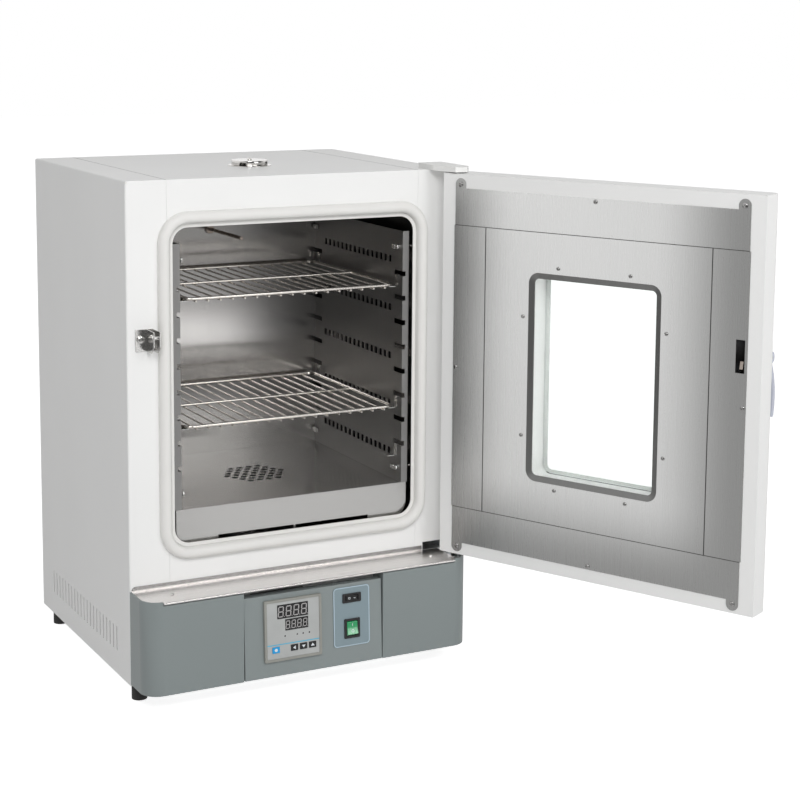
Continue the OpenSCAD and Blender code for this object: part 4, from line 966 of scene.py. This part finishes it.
@dataclass
class Chamber:
    """Stainless chamber with its ducts, floor, shelves, probe and gasket."""

    mouth_half: float = 208.0
    mouth_low: float = 236.0
    mouth_high: float = 730.0
    mouth_round: float = 30.0
    lip: float = 5.5
    lip_round: float = 0.4
    lip_gap: float = 0.6
    lip_depth: Point = (219.6, 221.2)
    nose_depth: Point = (219.9, 220.9)

    def dress(self) -> None:
        """Finishes the chamber's nodes."""
        FINISHER.nodes("back wall steel", "chamber_box")
        FINISHER.nodes("duct steel", "left_duct_panel", "right_duct_panel")
        FINISHER.nodes("floor steel", "chamber_floor")
        FINISHER.nodes("bright steel", "thumb_screws", edge=0.5)
        FINISHER.nodes("bright steel", "shelf_clips")
        FINISHER.nodes("probe steel", "temperature_probe", edge=0.4)
        FINISHER.nodes("gasket silicone", "chamber_gasket")
        FINISHER.nodes("wire chrome", "upper_shelf", "lower_shelf")
        FINISHER.nodes("heater sheath", "heater_element")
        FINISHER.nodes("motor grey", "fan_motor")
        FINISHER.nodes("zinc", "fan_impeller")

    def build_gasket_lip(self) -> None:
        """Adds the gasket's thin inner lip, which laps over the mouth's flange."""
        at = (0.0, (self.mouth_low + self.mouth_high) / 2)
        width, height = 2 * self.mouth_half, self.mouth_high - self.mouth_low
        wide, tall, turn = width - 2 * self.lip, height - 2 * self.lip, self.mouth_round - self.lip
        nose = 2 * self.lip_round
        outer = oblong(width - self.lip_gap, height - self.lip_gap, self.mouth_round, at, 12)
        inner = oblong(wide, tall, turn, at, 12)
        edge = oblong(wide - nose, tall - nose, turn - self.lip_round, at, 12)
        piece = Piece("gasket_lip")
        place = TO_FRONT @ Matrix.Scale(MM, 4)
        piece.band(outer, inner, *self.lip_depth, place)
        piece.band(inner, edge, *self.nose_depth, place)
        piece.done("cabinet", "gasket silicone")

    def build(self) -> None:
        """Dresses the whole chamber and adds the gasket's lip."""
        self.dress()
        self.build_gasket_lip()


@dataclass
class Door:
    """Insulated window door with its liner, latch and handle.

    Sizes are in millimetres on the closed door, those of the latch in metres.
    """

    liner_y: float = -233.0
    corner_x: float = 240.0
    side_x: float = 246.0
    liner_low: float = 206.0
    liner_high: float = 772.0
    ear_rise: float = 6.0
    rim_inset: float = 5.0
    window: Point = (226.0, 324.0)
    middle_z: float = 490.0
    trim_out: float = 9.5
    seam_x: float = 192.6
    seam_low: float = 263.9
    seam_high: float = 714.1
    seam_long: float = 499.0
    seam_wide: Point = (1.1, 1.6)
    seam_gap: float = 1.2
    seam_round: float = 0.2
    seam_levels: Point = (-0.3, 0.05)
    head_rise: float = 1.8
    latch_at: Point = (-0.240, 0.563)
    latch_half: Point = (0.0134, 0.0292)
    latch_wall: float = 0.001
    latch_depth: Point = (0.2352, 0.2818)

    def dress(self) -> None:
        """Finishes the door's nodes."""
        sheets = ("top", "bottom", "hinge_side", "latch_side", "center")
        FINISHER.nodes("door white", "door_outer_shell")
        FINISHER.nodes("liner steel", *("door_liner_" + sheet for sheet in sheets))
        FINISHER.nodes("window trim", "window_frame")
        FINISHER.nodes("window glass", "inner_glass", "outer_glass")
        FINISHER.nodes("mineral wool", "door_insulation")
        FINISHER.nodes("handle silver", "handle_base", edge=1.6, turns=3)
        FINISHER.nodes("bright steel", "lever_pin")
        FINISHER.nodes("handle silver", "handle_lever", edge=2.4, turns=4)
        # The latch hook takes the darker probe steel as painted shade inside the latch slot
        FINISHER.nodes("probe steel", "latch_hook", edge=0.4)

    def screw_places(self) -> list[Triple]:
        """Lists the liner's screws on the closed door.

        Returns:
            (x, z, head radius) of each screw in millimetres.
        """
        wide, tall = self.window
        middle = (self.liner_low + self.liner_high) / 2
        ears = (self.liner_low - self.ear_rise, self.liner_high + self.ear_rise)
        places = []
        for s in (-1, 1):
            places += [(s * self.corner_x, z, 4.2) for z in ears]
            places.append((s * self.side_x, middle, 3.5))
            for t in (-1, 1):
                places.append((s * (wide / 2 + self.trim_out), self.middle_z + t * tall * 0.286, 3.0))
                places.append((s * wide * 0.272, self.middle_z + t * (tall / 2 + self.trim_out), 3.0))
        places += [(0.0, z, 3.5) for z in (self.liner_low + self.rim_inset, self.liner_high - self.rim_inset)]
        return places

    def build_screws(self) -> None:
        """Adds the cross heads in place of the plain ones."""
        places = self.screw_places()
        heads = {radius: cross_head(radius, self.head_rise) for radius in sorted({row[2] for row in places})}
        piece = Piece("liner_screws")
        for turn, (x, z, radius) in enumerate(places):
            spin = Matrix.Rotation(0.7 * turn, 4, "Z")
            piece.graft(heads[radius], DOOR @ spot(x, self.liner_y, z) @ TO_BACK @ spin)
        thing = piece.done("door", "screw steel")
        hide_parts("door_screws")

    def build_liner_seam_shadows(self) -> None:
        """Lays dark strips in the joints between the liner's five sheets, painted shadow of the gaps."""
        middle, length = (self.seam_low + self.seam_high) / 2, self.seam_high - self.seam_low - self.seam_gap
        lying, upright = self.seam_wide
        place = DOOR @ spot(0, self.liner_y, 0) @ TO_BACK @ Matrix.Scale(MM, 4)
        rows = [(self.seam_long, lying, (0, z)) for z in (self.seam_low, self.seam_high)]
        rows += [(upright, length, (x, middle)) for x in (-self.seam_x, self.seam_x)]
        piece = Piece("liner_seam_shadow_strips")
        for width, height, at in rows:
            piece.prism(oblong(width, height, self.seam_round, at, 1), *self.seam_levels, place)
        piece.done("door", "liner gap shadow")

    def build_latch_shade_box(self) -> None:
        """Lines the cavity behind the liner's slot with a black box, painted shade in the slot."""
        wide, tall, wall = 2 * self.latch_half[0], 2 * self.latch_half[1], self.latch_wall
        outer = oblong(wide, tall, wall, self.latch_at, 2)
        inner = oblong(wide - wall, tall - wall, wall / 2, self.latch_at, 2)
        box = Piece("latch_shade_box")
        box.band(outer, inner, *self.latch_depth, DOOR @ TO_FRONT)
        box.done("door", "black nylon")

    def build(self) -> None:
        """Builds and dresses the whole door."""
        self.dress()
        self.build_screws()
        self.build_liner_seam_shadows()
        self.build_latch_shade_box()


@dataclass
class Plinth:
    """Grey moulding below the door with the spill tray on it."""

    rivet: Triple = (221.0, -255.0, 177.4)
    rivet_profile: tuple[Point, ...] = ((3.3, 0.0), (3.1, 0.5), (2.3, 1.0), (1.2, 1.3), (0.0, 1.4))

    def build(self) -> None:
        """Dresses the moulding and the tray and adds the tray's rivets."""
        FINISHER.nodes("plinth grey", "plinth_shell", edge=0.5)
        FINISHER.nodes("tray steel", "spill_tray")
        profile = [(radius * MM, height * MM) for radius, height in self.rivet_profile]
        x, y, z = self.rivet
        piece = Piece("tray_rivets")
        for s in (-1, 1):
            piece.lathe(profile, spot(s * x, y, z), 24)
        piece.done("cabinet", "bright steel")


@dataclass
class ControlPanel:
    """Tilting panel with the controller, its keys and the two rocker switches.

    The y values are millimetres behind the panel's pivots, rocker_face_y behind the rocker's own.
    """

    panel_high: float = 110.0
    bezel_x: float = -37.3
    bezel_w: float = 96.0
    plate_x: float = 64.0
    plate_w: float = 63.0
    plate_h: float = 95.0
    key_step: float = 15.3
    rocker_turn: float = 9.0
    rocker_y: float = -5.2
    rocker_face_y: float = -5.35
    rocker_slope: Point = (1.8, 12.6)
    window_y: float = -10.2
    digit_y: float = -10.89
    lamp_y: float = -10.95
    stripe_y: float = -10.97
    key_y: float = -11.75
    line_y: float = -8.17
    sign_high: float = 0.12
    sign_sunk: float = -0.1
    glass_high: float = 0.7
    glass_edge: float = 0.15
    digit_slant: float = 0.07
    lamps_across: tuple[float, ...] = (34.0, 54.5, 64.5, 75.0)

    def __post_init__(self) -> None:
        """Works out the heights that follow from the panel's own."""
        self.bezel_z = self.panel_high - 8 - self.bezel_w / 2
        self.plate_z = self.panel_high - 5 - self.plate_h / 2
        self.key_z = self.bezel_z - 30
        self.power_z = self.plate_z - 19
        self.fan_z = self.plate_z + 29.5

    def place(self, y: float) -> Matrix:
        """Returns the matrix for outlines in millimetres on the panel, at one y."""
        return PANEL @ spot(0, y, 0) @ TO_FRONT @ Matrix.Scale(MM, 4)

    def dress(self) -> None:
        """Finishes the panel's nodes."""
        FINISHER.nodes("panel grey", "control_panel", edge=0.4)
        FINISHER.nodes("bezel grey", "controller_bezel", edge=1.0, turns=3)
        FINISHER.nodes("face film", "controller_face")
        FINISHER.nodes("black nylon", "controller_body")
        FINISHER.nodes("switch plate blue", "switch_plate", edge=0.3)
        FINISHER.nodes("black nylon", "fan_switch_body", "power_switch_body", edge=0.5)
        FINISHER.nodes("key blue", "set_key", edge=0.5)
        FINISHER.nodes("key black", "left_key", "down_key", "up_key", edge=0.5)
        FINISHER.nodes("key black", "fan_rocker", edge=0.4)
        FINISHER.nodes("rocker lens", "power_rocker", edge=0.6)

    def build_display(self, name: str, at: Point, size: Point, digit: Point, bar: float) -> None:
        """Adds one dark window with four digits.

        Args:
            name: Start of the pieces' names.
            at: Middle of the window.
            size: Width and height of the window.
            digit: Width and height of a digit.
            bar: Width of a digit's bars.
        """
        glass = Piece(name + "_window")
        pane, front = oblong(*size, 0.6, at, 3), self.place(self.window_y)
        glass.prism(pane, 0.0, self.glass_high, front, self.glass_edge)
        glass.done("panel", "display smoke")
        digits = Piece(name + "_digits")
        place = self.place(self.digit_y)
        for i in range(4):
            x = at[0] + (i - 1.5) * (size[0] / 4)
            dot = (x + digit[0] / 2 + 0.5, at[1] - digit[1] / 2 + bar * 0.4)
            bars = segments(*digit, bar, (x - 0.4, at[1]), self.digit_slant)
            for line in (*bars, disc(bar * 0.45, dot, 16)):
                digits.prism(line, 0.0, self.sign_high, place)
        digits.done("panel", "segment grey")

    def build_face(self) -> None:
        """Adds the displays, indicators and stripe on the controller's face."""
        x, z = self.bezel_x, self.bezel_z
        self.build_display("upper_display", (x - 0.5, z + 28.5), (51.6, 21.6), (9.4, 17.0), 1.6)
        self.build_display("lower_display", (x + 6, z + 7), (38.6, 17.6), (7.0, 12.8), 1.25)
        lamps = Piece("indicator_lamps")
        for across in self.lamps_across:
            at = (x - self.bezel_w / 2 + across, z - 10)
            lamps.prism(disc(1.25, at, 20), 0.0, 0.35, self.place(self.lamp_y), 0.2)
        lamps.done("panel", "indicator")
        stripe = Piece("face_stripe")
        stripe.prism(square(x - 43.8, x + 43.8, z - 23.0, z - 21.3), 0.0, 0.1, self.place(self.stripe_y))
        stripe.done("panel", "stripe blue")

    def build_key_signs(self) -> None:
        """Adds the arrows and the disc on the keys, each on its own key."""
        up, z, step = self.bezel_x + 32, self.key_z, self.key_step
        signs = (
            ("key_left", "_arrow", up - 2 * step, [(-2.6, 0.0), (1.8, -2.9), (1.8, 2.9)]),
            ("key_down", "_arrow", up - step, [(0.0, -2.6), (3.1, 1.9), (-3.1, 1.9)]),
            ("key_up", "_arrow", up, [(0.0, 2.6), (-3.1, -1.9), (3.1, -1.9)]),
            ("key_set", "_disc", self.bezel_x - 29.5, disc(2.5)),
        )
        for body, kind, x, corners in signs:
            sign = Piece(body + kind)
            line = [(x + a, z + b) for a, b in corners]
            sign.prism(line, 0.0, self.sign_high, self.place(self.key_y))
            sign.done(body, "print white")

    def build_plate_line(self) -> None:
        """Adds the pale line round the switch plate."""
        at = (self.plate_x, self.plate_z)
        outer = oblong(self.plate_w - 1.2, self.plate_h - 1.2, 5.6, at, 8)
        inner = oblong(self.plate_w - 3.8, self.plate_h - 3.8, 4.4, at, 8)
        line = Piece("switch_plate_line")
        line.band(outer, inner, 0.0, self.sign_high, self.place(self.line_y))
        line.done("panel", "plate line")

    def rocker_face(self, z: float, axis: str, lean: float) -> Matrix:
        """Places outlines in millimetres on one slope of a rocker's face.

        Args:
            z: Height of the rocker's pivot on the panel.
            axis: The axis it turns about.
            lean: The slope's angle to the rocker.

        Returns:
            The matrix, for the rocker at rest.
        """
        turn = Matrix.Rotation(-math.radians(self.rocker_turn), 4, axis)
        pivot = Matrix.Translation((self.plate_x, self.rocker_y, z)) @ turn
        out = Matrix.Translation((0, self.rocker_face_y, 0))
        return PANEL @ Matrix.Scale(MM, 4) @ pivot @ Matrix.Rotation(lean, 4, axis) @ out @ TO_FRONT

    def build_rocker_signs(self) -> None:
        """Adds a circle and a bar to each rocker, each on its own slope of the face."""
        lean = math.atan2(*self.rocker_slope)
        fan = ("fan", self.fan_z, "Z", lean, (1.9, 1.25), (-4.6, 0), (3.0, 0.8), (5.4, 0))
        power = ("power", self.power_z, "X", -lean, (2.3, 1.6), (0, -5.6), (0.8, 3.8), (0, 5.8))
        for switch, z, axis, slope, radii, at, size, middle in (fan, power):
            signs = Piece(switch + "_rocker_signs")
            outer, inner = (disc(radius, at) for radius in radii)
            signs.band(outer, inner, self.sign_sunk, self.sign_high, self.rocker_face(z, axis, slope))
            bar = oblong(*size, 0.3, middle, 3)
            signs.prism(bar, self.sign_sunk, self.sign_high, self.rocker_face(z, axis, -slope))
            signs.done("rocker_" + switch, "print white")

    def build(self) -> None:
        """Builds and dresses the whole panel."""
        self.dress()
        self.build_face()
        self.build_key_signs()
        self.build_plate_line()
        self.build_rocker_signs()


@dataclass
class Vent:
    """Turning vent on the cabinet's top."""

    def build(self) -> None:
        """Dresses the vent's flange and its cap."""
        FINISHER.nodes("vent steel", "vent_base", edge=0.3)
        FINISHER.nodes("vent steel", "vent_cap", edge=0.4)


@dataclass
class Studio:
    """Pale floor, soft light and the photograph's camera.

    front_fade is in metres of Y, dim_fade and right_fade are parts of a direction, and the
    stops of pools and sides are (metres from the middle, level).
    """

    location: Triple = (-1.17710, -2.77082, 1.05159)
    yaw: float = 27.509
    pitch: float = 7.953
    roll: float = -0.387
    focal: float = 1849.05
    picture: float = 800.0
    sensor: float = 36.0
    shift: Point = (0.02, -0.17)
    room_level: float = 0.31
    dim_side: Triple = (0.1, -1.0, 0.15)
    dim_fade: Point = (0.15, 0.85)
    dim_level: float = 0.05
    floor_color: Color = (0.92, 0.92, 0.92, 1.0)
    floor_lift: float = 0.8
    floor_reach: float = 14.0
    floor_drop: float = 0.0004
    front_fade: Point = (-0.8, -1.3)
    right_fade: Point = (-0.1, 0.25)
    front_left: float = 0.12
    pools: tuple[Point, ...] = (
        (0.0, 1.2), (1.4, 1.2), (1.85, 0.12), (2.35, 0.1),
        (2.5, 2.4), (2.9, 2.4), (3.1, 0.8), (4.4, 0.6), (9.0, 0.4),
    )
    sides: tuple[Point, ...] = ((0.0, 0.8), (0.8, 0.8), (3.5, 1.0), (9.0, 1.0))

    def build_camera(self) -> None:
        """Sets the camera where the photograph was taken from."""
        yaw, pitch, roll = (math.radians(a) for a in (self.yaw, self.pitch, self.roll))
        ahead = Vector((math.sin(yaw) * math.cos(pitch), math.cos(yaw) * math.cos(pitch), -math.sin(pitch)))
        level = Vector((math.cos(yaw), -math.sin(yaw), 0.0))
        plumb = ahead.cross(level)
        right = level * math.cos(roll) + plumb * math.sin(roll)
        down = plumb * math.cos(roll) - level * math.sin(roll)
        turn = Matrix((right, -down, -ahead)).transposed().to_4x4()
        data = bpy.data.cameras.new("camera")
        data.sensor_width = self.sensor
        data.lens = self.sensor * self.focal / self.picture
        data.shift_x, data.shift_y = self.shift
        data.clip_start, data.clip_end = 0.05, 60.0
        camera = hang("camera", data)
        camera.matrix_world = Matrix.Translation(self.location) @ turn
        bpy.context.scene.camera = camera

    def build_world(self) -> None:
        """Lights the room evenly, shows white behind the object and a dim room before it."""
        world = bpy.data.worlds.new("studio")
        world.use_nodes = True
        tree = Wiring(world.node_tree)
        inputs = {0: tree.add("ShaderNodeTexCoord", {}, "Generated"), 1: Vector(self.dim_side).normalized()}
        side = tree.add("ShaderNodeVectorMath", inputs, "Value", operation="DOT_PRODUCT")
        fade = tree.rise(side, *self.dim_fade, 1.0, self.dim_level)
        level = tree.blend(tree.ray("Is Glossy Ray"), self.room_level, fade)
        level = tree.blend(tree.ray("Is Camera Ray", "Is Transmission Ray"), level, 1.0)
        light = tree.add("ShaderNodeBackground", {0: WHITE, 1: level})
        tree.feed(tree.node("ShaderNodeOutputWorld").inputs[0], light)
        bpy.context.scene.world = world

    def mirrored_floor(self, tree: Wiring) -> Socket:
        """Gives the floor's level in reflections.

        Args:
            tree: The floor material's tree.

        Returns:
            Pools of light before the object, an even pale floor to its sides and behind it.
        """
        place = tree.add("ShaderNodeTexCoord", {}, "Object")
        far = tree.add("ShaderNodeVectorMath", {0: place}, "Value", operation="LENGTH")
        way = tree.add("ShaderNodeVectorMath", {0: place}, operation="NORMALIZE")
        before = tree.rise(tree.part(place, 1), *self.front_fade)
        right = tree.rise(tree.part(way, 0), *self.right_fade)
        front = tree.blend(right, self.front_left, tree.ramp(far, self.pools))
        return tree.blend(before, tree.ramp(far, self.sides), front)

    def build_floor(self) -> None:
        """Lays the pale floor, which keeps the object's shadow."""
        mesh = bpy.data.meshes.new("floor")
        sides = ((-1, -1), (1, -1), (1, 1), (-1, 1))
        corners = [(x * self.floor_reach, y * self.floor_reach, -self.floor_drop) for x, y in sides]
        mesh.from_pydata(corners, [], [(0, 1, 2, 3)])
        floor = hang("floor", mesh)
        material = bpy.data.materials.new("floor")
        material.use_nodes = True
        tree = Wiring(material.node_tree)
        shown = tree.ray("Is Camera Ray", "Is Transmission Ray")
        matt = tree.add("ShaderNodeBsdfDiffuse", {0: self.floor_color})
        glow = tree.add("ShaderNodeEmission", {0: WHITE, 1: tree.blend(shown, 0.0, self.floor_lift)})
        seen = tree.add("ShaderNodeAddShader", {0: matt, 1: glow})
        mirrored = tree.add("ShaderNodeEmission", {0: WHITE, 1: self.mirrored_floor(tree)})
        share = tree.blend(tree.ray("Is Transmission Ray"), tree.ray("Is Glossy Ray"), 0.0)
        which = tree.add("ShaderNodeMixShader", {0: share, 1: seen, 2: mirrored})
        tree.feed(tree.node("ShaderNodeOutputMaterial").inputs[0], which)
        mesh.materials.append(material)

    def lamp(self, name: str, at: Triple, to: Triple, size: Point, power: float) -> None:
        """Hangs one soft box.

        Args:
            name: The lamp's name.
            at: Where it hangs.
            to: Where it points.
            size: Width and height.
            power: Its power in watts.
        """
        data = bpy.data.lights.new(name, "AREA")
        data.shape = "RECTANGLE"
        data.size, data.size_y = size
        data.energy = power
        lamp = hang(name, data)
        lamp.location = at
        lamp.rotation_mode = "QUATERNION"
        lamp.rotation_quaternion = (Vector(to) - Vector(at)).to_track_quat("-Z", "Y")

    def build(self) -> None:
        """Builds the whole studio."""
        bpy.context.scene.view_settings.view_transform = "Standard"
        self.build_camera()
        self.build_world()
        self.build_floor()
        self.lamp("left key", (-1.2, -3.1, 2.4), (0.0, -0.2, 0.45), (1.5, 1.2), 50.0)
        self.lamp("right key", (0.8, -3.1, 2.5), (0.0, -0.2, 0.45), (1.5, 1.2), 22.0)
        self.lamp("front box", (1.1, -2.9, 0.98), (0.0, 0.0, 0.35), (1.4, 0.44), 5.5)


def main() -> None:
    """Builds every sub-assembly in order."""
    logging.basicConfig(level=logging.INFO, format="%(name)s: %(message)s")
    Studio().build()
    for assembly in (Cabinet(), Chamber(), Door(), Plinth(), ControlPanel(), Vent()):
        assembly.build()
        LOG.info("%s is dressed", type(assembly).__name__)


if __name__ == "__main__":
    main()
